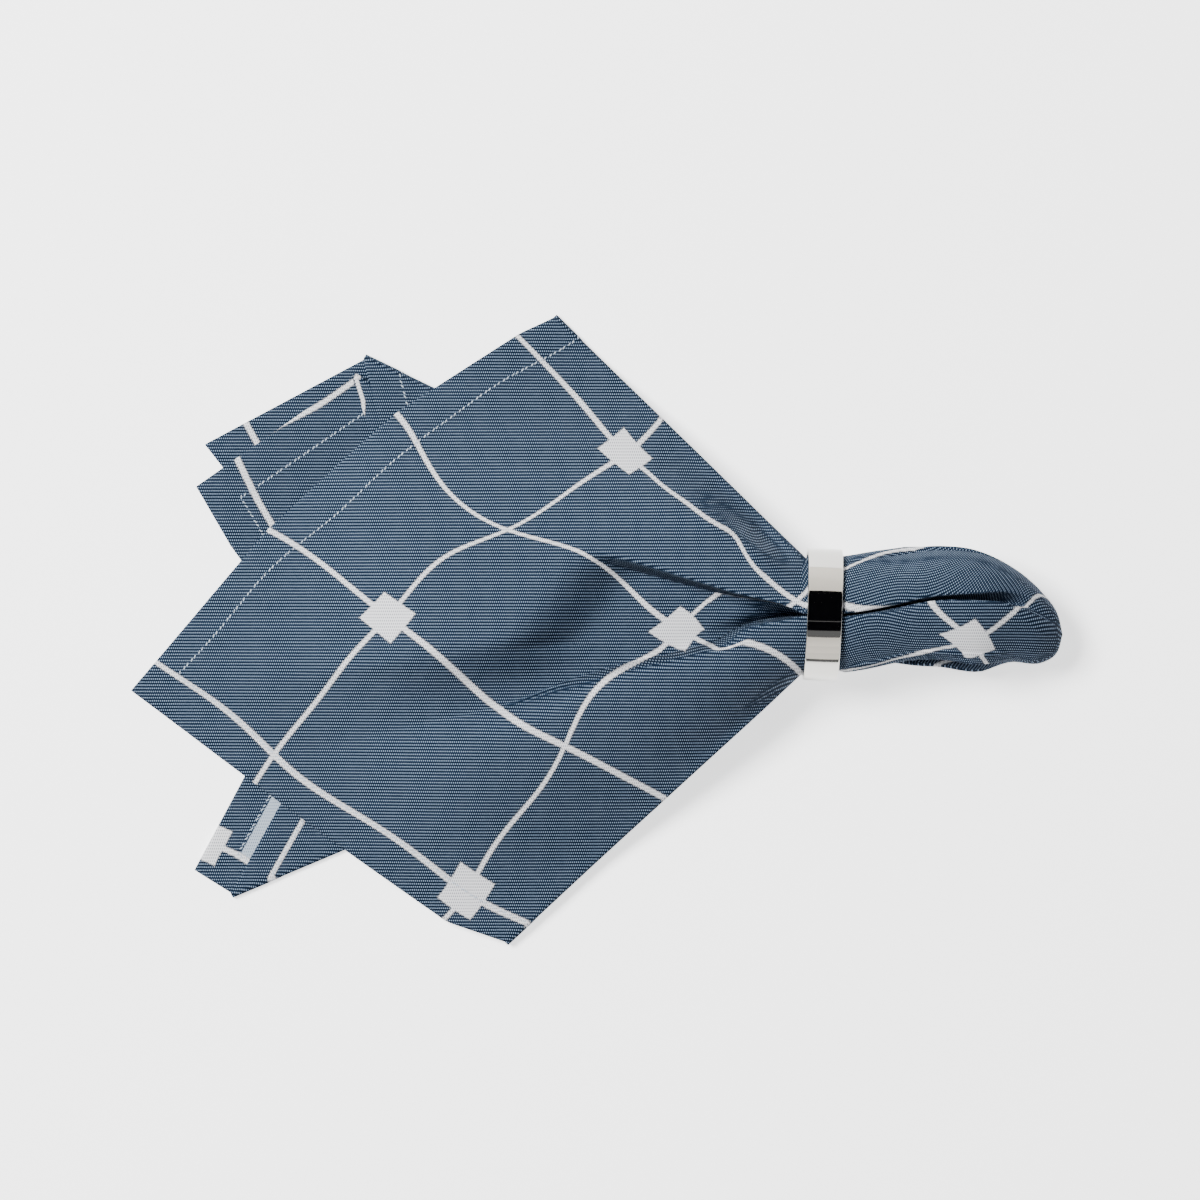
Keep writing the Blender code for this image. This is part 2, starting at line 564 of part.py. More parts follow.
def add_ring(collection):
    """The ring: a flat band turned round its axis, with its edges rounded."""
    inner = RING_OUTER - RING_WALL
    half = RING_WIDTH / 2
    outline = ((-half, inner), (half, inner), (half, RING_OUTER), (-half, RING_OUTER))
    data = bpy.data.meshes.new("napkin_ring")
    data.from_pydata([(x * MM, 0.0, z * MM) for x, z in outline], [(0, 1), (1, 2), (2, 3), (3, 0)], [])
    ring = bpy.data.objects.new("napkin_ring", data)
    collection.objects.link(ring)
    turned = ring.modifiers.new("Turned", "SCREW")
    turned.axis = "X"
    turned.steps = RING_STEPS
    turned.render_steps = RING_STEPS
    turned.use_merge_vertices = True
    turned.merge_threshold = 0.00001
    edges = ring.modifiers.new("Rounded edges", "BEVEL")
    edges.width = RING_EDGE * MM
    edges.segments = 2
    edges.limit_method = "ANGLE"
    ring.location = (RING_X * MM, RING_Y * MM, RING_OUTER * MM)
    ring.rotation_euler = (0.0, 0.0, math.radians(RING_TURN))
    ring.data.materials.append(material("polished_steel", (0.86, 0.85, 0.82), 0.08, 1.0))
    return ring


for old in list(bpy.data.objects):
    bpy.data.objects.remove(old, do_unlink=True)
napkin = bpy.data.collections.new("napkin_in_ring")
bpy.context.scene.collection.children.link(napkin)
add_cloth(napkin)
add_ring(napkin)
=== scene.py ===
"""A square checked napkin, folded loosely, gathered across its middle and held by a polished metal ring."""

import math

import bpy
import numpy as np
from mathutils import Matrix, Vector


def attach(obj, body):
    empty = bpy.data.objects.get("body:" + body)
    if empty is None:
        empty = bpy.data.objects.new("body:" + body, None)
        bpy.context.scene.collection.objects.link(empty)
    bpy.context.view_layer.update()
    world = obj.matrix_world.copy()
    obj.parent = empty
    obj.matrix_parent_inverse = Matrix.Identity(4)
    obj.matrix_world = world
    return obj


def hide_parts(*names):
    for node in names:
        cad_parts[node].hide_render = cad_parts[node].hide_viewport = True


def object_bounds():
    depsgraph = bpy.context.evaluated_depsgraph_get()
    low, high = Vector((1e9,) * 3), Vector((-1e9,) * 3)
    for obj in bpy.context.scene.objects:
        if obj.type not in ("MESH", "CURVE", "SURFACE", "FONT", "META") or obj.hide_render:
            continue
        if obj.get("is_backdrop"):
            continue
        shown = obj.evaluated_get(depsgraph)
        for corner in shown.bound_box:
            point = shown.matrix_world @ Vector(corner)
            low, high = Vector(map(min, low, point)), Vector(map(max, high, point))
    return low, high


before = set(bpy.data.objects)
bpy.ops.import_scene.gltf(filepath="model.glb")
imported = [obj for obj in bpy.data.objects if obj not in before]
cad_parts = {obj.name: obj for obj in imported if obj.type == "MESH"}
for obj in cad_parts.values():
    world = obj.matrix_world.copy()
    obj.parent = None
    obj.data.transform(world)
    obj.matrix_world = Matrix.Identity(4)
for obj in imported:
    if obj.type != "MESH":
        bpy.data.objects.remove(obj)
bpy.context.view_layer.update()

# The napkin is one square of yarn-dyed cotton twill, 450 mm a side, hemmed all round. It is folded
# loosely, drawn together across its middle and pushed through the ring, so that its folds fan out on the
# table on one side and the middle of the cloth stands out as a soft puff on the other.
MM = 0.001
SIDE = 450.0
THICK = 0.7
HEM_THICK = 1.15
HEM_WIDE = 12.0
HEM_EASE = 1.0
PITCH = 2.0
LAYER_REST = 0.5
DROP = 44.0
TOP_DROP = 50.0
FOLD_HEM = 5.0
FOLD_ROUND = 1.2
PUFF_FOLD = 0.5
RING_RADIUS = 22.5
RING_Y = 5.2
BUNDLE = 20.1
UNDER = 18.5
UNDER_LOW = 15.0
UNDER_SLOPE = 0.5
UNDER_SIDE = 21.7
BLEND_X = -5.0
NECK_X = 69.6
MOUTH_X = 84.4
SPREAD = 0.94
LEVELS = 9
NECK_FLAP = 181.0
MOUTH_FLAP = 146.0
SQUEEZED = 0.34
SQUEEZE_AT = 168.6
FLANK = 0.70
FLANK_LOW = 163.0
FLAP_GAP = 7.0
TOP_CLOSES = (0.84, 1.00)
EDGE_CLOSES = 0.25
PUFF_SETTLES = (0.00, 0.32)
PUFF_TURNS = (0.00, 0.60)
FOLDS_FADE = (0.45, 0.70)
CLEFT_OPENS = (0.45, 0.75)
TIP_EVENS = (0.60, 0.85)
CORNER_HOLDS = (0.05, 0.55)


def table(columns, rows):
    """A table with named columns, as arrays."""
    names = columns.split()
    return {name: np.array([row[i] for row in rows]) for i, name in enumerate(names)}


# Folds in order round the hem: where each lies along the hem from the corner P1 and on the table, the
# two layers it joins, its side of the gather, its place and roundness in the ring, its clock angles in
# the puff, and whether it is tucked in there
FOLDS = table("name along x y before after side neck bulge mouth tip deep", (
    ("F4", -155.0, -30.4, -107.8, 1, 0, -1, -18.3, 0.6, 146.0, 132.0, 0.0),
    ("F1", 207.0, -13.8, 107.8, 0, 5, 1, 17.2, 2.4, 6.0, 6.0, 0.0),
    ("H", 302.0, -51.1, 20.5, 5, 6, -1, 5.0, 1.6, -16.0, -14.0, 1.0),
    ("G1", 387.0, -79.0, 94.0, 6, 9, 1, 13.4, 3.6, -38.0, -32.0, 0.0),
    ("F2", 675.0, -18.3, -84.7, 9, 8, -1, -13.0, 1.2, -118.0, -92.0, 0.0),
    ("G3", 962.0, -83.1, 87.8, 8, 7, 1, -4.0, 1.0, -130.0, -108.0, 1.0),
    ("J1", 1098.0, -40.7, -46.7, 7, 4, -1, -13.4, 3.0, -145.0, -122.0, 0.0),
    ("J2", 1198.0, -68.3, 48.1, 4, 3, 1, -5.0, 1.0, -160.0, -138.0, 1.0),
    ("G4", 1366.0, -124.9, -91.6, 3, 2, -1, -13.4, 1.4, -175.0, -156.0, 0.0),
    ("H4", 1510.0, -58.0, 30.9, 2, 1, 1, -6.0, 1.0, -192.0, -182.0, 1.0),
    ("F4", 1645.0, -30.4, -107.8, 1, 0, -1, -18.3, 0.6, -214.0, -228.0, 0.0),
))
HEM = table("name along x y", (
    ("e4 near", -131.6, -51.1, -100.2),
    ("e4 middle", -83.8, -92.5, -70.9),
    ("e4 far", -54.7, -115.9, -53.6),
    ("P1", 0.0, -159.7, -20.9),
    ("e1 far", 71.5, -112.5, 34.3),
    ("e1 middle", 132.0, -68.3, 74.0),
    ("e1 near", 192.5, -26.2, 101.6),
    ("e1 curl", 364.0, -74.2, 71.9),
    ("P2", 450.0, -134.5, 63.7),
    ("e2 bend", 871.0, -123.5, 25.4),
    ("P3", 900.0, -137.3, 49.2),
    ("P4", 1350.0, -138.0, -82.6),
))

# The top layer's two ridges and the valley between them, from the hem (0) to the ring (1). The valley's
# floor is close to the south ridge's steep side, and the lip is the edge of the north lobe over it.
RIDGES = table("way south south_lift valley valley_lift lip lip_lift north north_lift", (
    (0.00, -83.0, 1.0, -42.0, 0.6, 45.0, 1.0, 98.0, 1.6),
    (0.20, -80.0, 3.0, -45.0, 1.5, 60.0, 4.6, 103.0, 5.2),
    (0.34, -76.0, 7.0, -46.0, 2.3, 76.0, 9.4, 116.0, 9.4),
    (0.48, -66.0, 12.0, -46.5, 2.7, 92.0, 13.8, 141.0, 13.4),
    (0.60, -61.0, 15.8, -40.5, 2.5, 103.0, 17.2, 156.0, 17.5),
    (0.70, -60.0, 19.8, -38.0, 2.4, 103.5, 19.7, 166.0, 20.5),
    (0.80, -60.0, 22.2, -37.0, 2.6, 103.0, 21.6, 169.0, 22.2),
    (0.88, -58.0, 23.2, -31.0, 3.0, 105.0, 22.8, 171.0, 23.4),
    (1.00, -58.0, 24.0, 58.0, 3.5, 145.3, 24.0, 176.0, 24.0),
))
SOUTH_STEEP = (2.2, 6.2)
SOUTH_STEEPENS = (0.56, 0.72)
LIP_FOOT = 0.92
LIP_RISE = 0.75
LIP_OPENS = (0.54, 0.68)
BANK = 0.42
BANK_RISE = 0.9
BANK_OPENS = (0.22, 0.40)
SOUTH_LIP = -29.4

# The cleft in the top of the gather, from the ring (0) to the tip (1)
CLEFT_FLOOR = 0.09
CLEFT_WALL = 1.2
FLOOR_SHARE = 0.8
LOBE_SHARE = 0.8
CLEFT = table("far south north angle depth gap", (
    (0.00, -29.4, 145.3, 90.0, 24.6, 0.75),
    (0.20, -10.0, 138.0, 85.0, 23.0, 0.95),
    (0.40, 15.0, 130.0, 79.0, 20.0, 1.10),
    (0.60, 46.0, 120.0, 72.0, 11.0, 1.90),
    (0.75, 56.0, 116.0, 68.0, 3.0, 2.60),
    (0.90, 56.0, 116.0, 66.0, 0.4, 1.50),
    (1.00, 56.0, 116.0, 66.0, 0.0, 0.00),
))
PUFF = table("far x y z half_y half_z tuck spread", (
    (0.00, 84.4, 5.2, 22.5, 20.1, 20.1, 0.62, 0.15),
    (0.19, 100.7, 7.0, 21.9, 18.4, 20.4, 0.60, 0.15),
    (0.37, 116.3, 7.6, 21.2, 19.3, 19.9, 0.50, 0.20),
    (0.53, 130.1, 5.9, 19.6, 20.0, 18.5, 0.28, 0.35),
    (0.69, 142.1, 4.8, 16.6, 16.2, 15.3, 0.06, 0.50),
    (0.83, 152.0, 0.9, 13.6, 11.9, 11.2, 0.00, 0.60),
    (0.93, 157.5, -1.0, 11.8, 6.4, 6.0, 0.00, 0.60),
    (1.00, 159.3, -1.6, 11.0, 0.0, 0.0, 0.00, 0.60),
))

# The sheet's rows: closer together in the hem and towards the tip
HEM_WAYS = np.linspace(0.0, 0.075, 9)[:-1]
FAN_WAYS = np.linspace(0.075, 1.0, 56)
RING_PARTS = np.linspace(0.0, 1.0, 7)[1:]
PUFF_FARS = 1.0 - (1.0 - np.linspace(0.0, 1.0, 37)[1:-1]) ** 1.5
ROWS = (
    [("fan", way) for way in np.concatenate((HEM_WAYS, FAN_WAYS))]
    + [("ring", part) for part in RING_PARTS]
    + [("puff", far) for far in PUFF_FARS])
LAYER_STEPS = (164, 22, 22, 30, 34, 16, 14, 24, 28, 20)
TOP_STEPS = (40, 26, 4, 36, 12, 46)
FOLD_STEPS = 7


def smooth(value, low, high):
    """0 below low, 1 above high, and a soft slope between."""
    part = np.clip((value - low) / (high - low), 0.0, 1.0)
    return part * part * (3.0 - 2.0 * part)


def curve(value, knots, heights):
    """A smooth line through a table's values."""
    slopes = np.gradient(heights, knots)
    index = np.clip(np.searchsorted(knots, value) - 1, 0, len(knots) - 2)
    width = knots[index + 1] - knots[index]
    part = np.clip((value - knots[index]) / width, 0.0, 1.0)
    start = heights[index] * (1 + 2 * part) * (1 - part) ** 2
    end = heights[index + 1] * (3 - 2 * part) * part ** 2
    lean = width * part * (1 - part) * (slopes[index] * (1 - part) - slopes[index + 1] * part)
    return start + end + lean


def read_off(values, place, names):
    """Some columns of a table at a place along its first column."""
    knots = next(iter(values.values()))
    return [curve(place, knots, values[name]) for name in names.split()]


def layer_ends(layer):
    """Where a layer starts and stops along the hem, clear of its two folds."""
    return FOLDS["along"][layer] + FOLD_HEM / 2, FOLDS["along"][layer + 1] - FOLD_HEM / 2


def bearing(along):
    """The direction from the middle of the flat cloth to a place on the hem of its first two edges."""
    side = np.where(along < 0.0, 270.0, 180.0)
    turn = np.where(along < 0.0, 1.0, -1.0)
    return side + turn * np.degrees(np.arctan((np.abs(along) - SIDE / 2) / (SIDE / 2)))


def outside(x, y, corners):
    """How far points lie outside a plan outline, 0 for those on it."""
    inside = np.zeros(x.shape, bool)
    nearest = np.full(x.shape, 1e9)
    for (ax, ay), (bx, by) in zip(corners, np.roll(corners, -1, axis=0)):
        run = ((x - ax) * (bx - ax) + (y - ay) * (by - ay)) / ((bx - ax) ** 2 + (by - ay) ** 2)
        run = np.clip(run, 0.0, 1.0)
        nearest = np.minimum(nearest, np.hypot(x - ax - run * (bx - ax), y - ay - run * (by - ay)))
        if ay != by:
            crosses = (ay > y) != (by > y)
            inside ^= crosses & (x < ax + (y - ay) * (bx - ax) / (by - ay))
    return np.where(inside, 0.0, nearest)


def fold_outward(fold):
    """The direction in plan in which a fold is rounded at the hem: square to its line, on its side."""
    line = np.array([NECK_X - FOLDS["x"][fold], RING_Y - FOLDS["y"][fold]])
    line = line / np.hypot(*line)
    outward = np.array([-line[1], line[0]])
    return outward * FOLDS["side"][fold] * np.sign(outward[1])


def hem_plan(along):
    """Where the hem lies on the table, with each fold's point set back by the fold's own roundness."""
    knots = [HEM["along"]]
    xs = [HEM["x"]]
    ys = [HEM["y"]]
    for fold in range(len(FOLDS["along"])):
        back = FOLD_ROUND * fold_outward(fold)
        knots.append(FOLDS["along"][fold] + FOLD_HEM / 2 * np.array([-1.0, 1.0]))
        xs.append(np.full(2, FOLDS["x"][fold] - back[0]))
        ys.append(np.full(2, FOLDS["y"][fold] - back[1]))
    knots, xs, ys = (np.concatenate(part) for part in (knots, xs, ys))
    order = np.argsort(knots)
    return np.interp(along, knots[order], xs[order]), np.interp(along, knots[order], ys[order])


def layer_outline(layer):
    """A layer's outline in plan: its hem, and the two sides of the gather."""
    start = FOLDS["along"][layer]
    end = FOLDS["along"][layer + 1]
    corners = HEM["along"][(HEM["along"] > start) & (HEM["along"] < end)]
    alongs = np.concatenate(([start], corners, [end]))
    x, y = hem_plan(alongs)
    sides = FOLDS["side"][[layer + 1, layer]] * BUNDLE + RING_Y
    return np.column_stack((np.append(x, (NECK_X, NECK_X)), np.append(y, sides)))


def lying_height(level, x, y):
    """Height of a layer in the fan: it lies on the ones below it, and slopes down past their edges."""
    width = DROP + (TOP_DROP - DROP) * (1.0 if level == 0 else 0.0)
    height = np.full(x.shape, LAYER_REST)
    for layer in range(len(FOLDS["along"]) - 1):
        if FOLDS["after"][layer] > level:
            gone = smooth(outside(x, y, layer_outline(layer)), 0.0, width)
            height = height + PITCH * (1.0 - gone)
    return height


def bundle_height(level, across):
    """Height of a layer inside the ring, at a distance across the gather from the ring's axis."""
    arc = np.sqrt(np.maximum(UNDER ** 2 - across ** 2, 0.0))
    roof = np.minimum(np.minimum(UNDER_LOW + UNDER_SLOPE * np.abs(across), UNDER_SIDE), RING_RADIUS + arc)
    floor = RING_RADIUS - np.sqrt(np.maximum(BUNDLE ** 2 - across ** 2, 0.0))
    return floor + (LEVELS - level) / (LEVELS - 1) * (roof - floor)


def top_lines(row, steps):
    """The lines of the cloth that the top layer's columns follow on a row. At the hem they are evenly
    spaced, with one at the corner. Further in they follow the crests or lips on each side of the
    valley, the two sides of its narrow floor and the foot of the north lip, and at the tip they are
    even again."""
    part, amount = row
    if part == "fan":
        south, valley, north = read_off(RIDGES, amount, "south valley lip")
        south = south + (SOUTH_LIP - south) * smooth(amount, *TOP_CLOSES)
    else:
        far = amount if part == "puff" else 0.0
        south, north = read_off(CLEFT, far, "south north")
        valley = (south + north) / 2
    floor = CLEFT_FLOOR * (valley - south) * FLOOR_SHARE
    foot = valley + (north - valley) * LIP_FOOT
    first, last = layer_ends(0)
    knots = (first, south, valley - floor, valley + floor, foot, north, last)
    count = sum(steps)
    index = np.arange(count + 1)
    lines = np.interp(index, np.cumsum((0,) + steps), knots)
    corner = round(count * first / (first - last))
    plain = np.interp(index, (0, corner, count), (first, 0.0, last))
    if part == "fan":
        held = smooth(amount, *CORNER_HOLDS)
        return lines * held + plain * (1 - held)
    even = smooth(amount, *TIP_EVENS) if part == "puff" else 0.0
    return lines * (1 - even) + np.linspace(first, last, len(lines)) * even


def top_lift(along, way, first_lift, last_lift):
    """How far the top layer is above its lying height: level at both hems' folds and both crests. From
    the valley's floor the south side rises steeply and then rounds off, as 1 less a power of the way
    left, and the north side first rises gently to the foot of its lip and then steeply."""
    first, last = layer_ends(0)
    south, valley, lip, north = read_off(RIDGES, way, "south valley lip north")
    south_lift, valley_lift, lip_lift, north_lift = read_off(
        RIDGES, way, "south_lift valley_lift lip_lift north_lift")
    to_south = smooth(along, first, south)
    up_south = np.clip((valley - along) / (valley - south), 0.0, 1.0)
    up_lip = np.clip((along - valley) / (lip - valley), 0.0, 1.0)
    to_north = np.clip((along - lip) / (north - lip), 0.0, 1.0)
    to_last = smooth(along, north, last)
    low, high = SOUTH_STEEP
    power = low + (high - low) * smooth(way, *SOUTH_STEEPENS)
    opened = smooth(way, *LIP_OPENS)
    banked = smooth(way, *BANK_OPENS)
    bank = BANK_RISE * smooth(up_lip, 0.0, BANK) + (1 - BANK_RISE) * up_lip
    round_side = bank * banked + up_lip * (2 - up_lip) * (1 - banked)
    lip_side = (1 - LIP_RISE) * up_lip + LIP_RISE * smooth(up_lip, LIP_FOOT, 1.0)
    shoulder = smooth(to_north, 0.0, 1.0) * (1 - opened) + to_north * (2 - to_north) * opened
    outer = first_lift + (south_lift - first_lift) * to_south
    flank = valley_lift + (south_lift - valley_lift) * (1 - (1 - up_south) ** power)
    inner = valley_lift + (lip_lift - valley_lift) * (round_side * (1 - opened) + lip_side * opened)
    crown = lip_lift + (north_lift - lip_lift) * shoulder
    fall = north_lift + (last_lift - north_lift) * to_last
    before = [along <= south, along <= valley, along <= lip, along <= north]
    return np.select(before, [outer, flank, inner, crown], fall)


def top_section(along, far, first_angle, last_angle, half_y, half_z, squeeze):
    """The top layer across a section: two lobes on an oval, and the cleft between them. squeeze is 1
    where the south lobe's cloth is squeezed towards the flap fold."""
    south, north, angle, depth, gap = read_off(CLEFT, far, "south north angle depth gap")
    first, last = layer_ends(0)
    to_first, to_south, to_north, to_last = (bearing(np.array(line)) for line in (first, south, north, last))
    lobe = (bearing(along) - to_first) / (to_south - to_first)
    knot = first_angle + (angle - first_angle) * SQUEEZED
    knot = knot + (SQUEEZE_AT - knot) * squeeze
    lobe_south = np.interp(lobe, (0.0, SQUEEZED, 1.0), (first_angle, knot, angle))
    lobe_north = angle + (last_angle - angle) * (bearing(along) - to_north) / (to_last - to_north)
    turn = np.radians(np.where(along < south, lobe_south, np.where(along > north, lobe_north, angle)))
    place = np.clip(2 * (along - south) / (north - south) - 1, -1.0, 1.0)
    down = depth * (1 - np.abs(place) ** CLEFT_WALL)
    off_lip = np.maximum((south - along) / (south - first), (along - north) / (last - north))
    open_part = smooth(far, *CLEFT_OPENS)
    upright = np.minimum(np.abs(place) / CLEFT_FLOOR, 1.0) ** 0.5
    aside = np.sign(place) * gap * (upright * (1 - open_part) + np.abs(place) * open_part)
    aside = aside * (1 - smooth(off_lip, 0.0, LOBE_SHARE))
    slant = math.radians(angle)
    across = half_y * np.cos(turn) - down * math.cos(slant) + aside * math.sin(slant)
    up = half_z * np.sin(turn) - down * math.sin(slant) - aside * math.cos(slant)
    return across, up


def share(layer, along):
    """How far a place along the hem is from a layer's first fold to its last."""
    first, last = layer_ends(layer)
    return (along - first) / (last - first)


def ring_section(layer, along, flank):
    """A layer across the ring, from the ring's axis. flank is 1 where the top layer reaches down the
    bundle's south side, on the fan's side of the ring, and 0 on the puff's side."""
    part = share(layer, along)
    across = FOLDS["neck"][layer] + (FOLDS["neck"][layer + 1] - FOLDS["neck"][layer]) * part
    up = bundle_height(FOLDS["after"][layer], across) - RING_RADIUS
    if layer == 0:
        last_angle = math.degrees(math.acos(FOLDS["neck"][1] / BUNDLE))
        return top_section(along, 0.0, MOUTH_FLAP + (NECK_FLAP - MOUTH_FLAP) * flank, last_angle,
                           BUNDLE, BUNDLE, flank)
    if layer == 9:
        high = MOUTH_FLAP + FLAP_GAP
        turn = np.radians(FLANK_LOW + (high - FLANK_LOW) * (part - FLANK) / (1 - FLANK))
        reach = np.clip(part / FLANK, 0.0, 1.0)
        low = FOLDS["neck"][9]
        edge = BUNDLE * math.cos(math.radians(FLANK_LOW))
        rise = BUNDLE * math.sin(math.radians(FLANK_LOW)) - (UNDER_SIDE - RING_RADIUS)
        puff_across = np.where(part > FLANK, BUNDLE * np.cos(turn), low + (edge - low) * reach)
        puff_up = np.where(part > FLANK, BUNDLE * np.sin(turn),
                           bundle_height(1, puff_across) - RING_RADIUS + rise * reach ** 3)
        across = across * flank + puff_across * (1 - flank)
        up = up * flank + puff_up * (1 - flank)
    return across, up


def fan_points(layer, along, way):
    """Points of a layer in the fan, a share of the way from the hem to the ring."""
    level = FOLDS["after"][layer]
    hem_x, hem_y = hem_plan(along)
    across, up = ring_section(layer, along, 1.0)
    x = hem_x + (NECK_X - hem_x) * way
    y = hem_y + (RING_Y + across - hem_y) * way
    gather = smooth(x, BLEND_X, NECK_X)
    reach = BUNDLE + SPREAD * (NECK_X - x)
    bundled = bundle_height(level, (y - RING_Y) * BUNDLE / reach)
    lying = lying_height(level, x, y)
    if layer > 0:
        return x, y, lying * (1 - gather) + bundled * gather
    first_lift = edge_lift(9, layer_ends(9)[1], way)
    last_lift = edge_lift(1, layer_ends(1)[0], way)
    z = lying + top_lift(along, way, first_lift, last_lift)
    if way > TOP_CLOSES[0]:
        close = smooth(way, *TOP_CLOSES)
        south, north = layer_ends(0)
        edge, valley, lip = read_off(RIDGES, way, "south valley lip")
        edge = valley + (edge - valley) * EDGE_CLOSES
        edge = edge + (SOUTH_LIP - edge) * close
        ring_valley = (SOUTH_LIP + RIDGES["lip"][-1]) / 2
        matched = np.interp(along, (south, edge, valley, lip, north),
                            (south, SOUTH_LIP, ring_valley, RIDGES["lip"][-1], north))
        across, up = ring_section(layer, matched, 1.0)
        z = z * (1 - close) + (RING_RADIUS + up) * close
    return x, y, z


def edge_lift(layer, along, way):
    """How far above its lying height the top layer starts, to sit on the layer that its fold joins it to."""
    x, y, z = fan_points(layer, np.array([along]), way)
    return float((z + PITCH - lying_height(0, x, y))[0])


def puff_points(layer, along, far):
    """Points of a layer past the ring, a share of the way from the ring to the tip."""
    settle = smooth(far, *PUFF_SETTLES)
    turned = smooth(far, *PUFF_TURNS)
    x, centre_y, centre_z, half_y, half_z, tuck, spread = read_off(
        PUFF, far, "x y z half_y half_z tuck spread")
    part = share(layer, along)
    angle = FOLDS["mouth"] + (FOLDS["tip"] - FOLDS["mouth"]) * turned
    if layer == 0:
        across, up = top_section(along, far, angle[0], angle[1], half_y, half_z, 0.0)
    else:
        even = 1.0 if layer == 3 else spread
        turn = np.radians(angle[layer] + (angle[layer + 1] - angle[layer]) * (0.5 + (part - 0.5) * even))
        deep = FOLDS["deep"][layer] + (FOLDS["deep"][layer + 1] - FOLDS["deep"][layer]) * part
        if layer == 9:
            low = FLANK_LOW - 360.0 + (FOLDS["tip"][10] - FOLDS["mouth"][10]) * turned
            turn = np.radians(np.interp(part, (0.0, FLANK, 1.0), (angle[9], low, angle[10] + FLAP_GAP)))
            deep = np.maximum(1.0 - part / FLANK, 0.0)
        across = half_y * (1 - tuck * deep) * np.cos(turn)
        up = half_z * (1 - tuck * deep) * np.sin(turn)
    mouth_across, mouth_up = ring_section(layer, along, 0.0)
    y = centre_y + across * settle + mouth_across * (1 - settle)
    z = centre_z + up * settle + mouth_up * (1 - settle)
    return np.full(y.shape, x), y, z


def layer_points(layer, along, row):
    """Points of a layer on one of the sheet's rows: fan, ring or puff, and how far through it."""
    part, amount = row
    if part == "fan":
        return np.array(fan_points(layer, along, amount))
    if part == "puff":
        return np.array(puff_points(layer, along, amount))
    across, up = ring_section(layer, along, 1.0 - amount)
    x = np.full(across.shape, NECK_X + (MOUTH_X - NECK_X) * amount)
    return np.array((x, RING_Y + across, RING_RADIUS + up))


def fold_bulge(fold, row, into, out):
    """The way a fold is rounded on a row, and how far: square to the fold's line and to the gap between
    the two layers that it joins, away from them. Their last and first points are given."""
    part, amount = row
    gap = out[:, 0] - into[:, 1]
    width = np.linalg.norm(gap)
    line = np.array((1.0, 0.0, 0.0))
    size = FOLDS["bulge"][fold]
    if part == "fan":
        line = np.array((NECK_X - FOLDS["x"][fold], RING_Y + FOLDS["neck"][fold] - FOLDS["y"][fold], 0.0))
        size = FOLD_ROUND + (size - FOLD_ROUND) * amount
    if part == "puff":
        size = min(size, PUFF_FOLD * width * (1.0 - smooth(amount, *FOLDS_FADE)))
    way = np.cross(line, gap)
    way = way * np.sign(way @ (into[:, 1] + out[:, 0] - into[:, 0] - out[:, 1]))
    return way / np.linalg.norm(way) * size


def inside_ring(points):
    """Points drawn in, where need be, to the round space inside the ring."""
    axis = np.array((0.0, RING_Y, RING_RADIUS))
    across = (points - axis) * (0.0, 1.0, 1.0)
    distance = np.linalg.norm(across, axis=1, keepdims=True)
    return points - across * (1 - np.minimum(1.0, BUNDLE / np.maximum(distance, BUNDLE / 2)))


def layer_lines(layer, row):
    """The places along the hem that a layer's columns follow on a row, with one at a corner of the cloth."""
    start, stop = layer_ends(layer)
    if layer == 0:
        return top_lines(row, TOP_STEPS)
    steps = LAYER_STEPS[layer]
    corners = [place for place in HEM["along"] if place % SIDE == 0.0 and start < place < stop]
    index = [round(steps * (corner - start) / (stop - start)) for corner in corners]
    return np.interp(np.arange(steps + 1), [0, *index, steps], [start, *corners, stop])


def sheet_row(row):
    """The cloth's middle surface on one row: points and their places along the hem, all the way round."""
    points = []
    alongs = []
    for layer in range(len(FOLDS["along"]) - 1):
        before = (layer - 1) % (len(FOLDS["along"]) - 1)
        end = layer_ends(before)[1]
        start = layer_ends(layer)[0]
        into = layer_points(before, np.array([end - FOLD_HEM, end]), row)
        out = layer_points(layer, np.array([start, start + FOLD_HEM]), row)
        phase = np.linspace(0, math.pi, FOLD_STEPS + 2)[1:-1]
        mix = (1 - np.cos(phase)) / 2
        arc = into[:, 1:] * (1 - mix) + out[:, :1] * mix
        points.append(arc + fold_bulge(layer, row, into, out)[:, None] * np.sin(phase))
        alongs.append(start - FOLD_HEM * (1 - mix))
        lines = layer_lines(layer, row)
        points.append(layer_points(layer, lines, row))
        alongs.append(lines)
    points = np.concatenate(points, axis=1).T
    if row == ("fan", 1.0) or row[0] == "ring":
        points = inside_ring(points)
    return points, np.concatenate(alongs)


def flat_hem(along):
    """Where a place along the hem is on the flat square, in millimetres from the corner P1."""
    along = along % (4 * SIDE)
    across = np.interp(along, SIDE * np.arange(5), (0.0, 0.0, SIDE, SIDE, 0.0))
    up = np.interp(along, SIDE * np.arange(5), (0.0, SIDE, SIDE, 0.0, 0.0))
    return np.stack((across, up), axis=-1)


# How the middle of the cloth is drawn together in the tip, as a power of the way to it, and how far apart
# along the hem the cloth's length from hem to tip is measured
TIP_DRAW = 1.12
REACH_APART = 6.0
MIDDLE = SIDE / 2
TOP_COLUMNS = LAYER_STEPS[0] + 1
top = slice(FOLD_STEPS, FOLD_STEPS + TOP_COLUMNS)


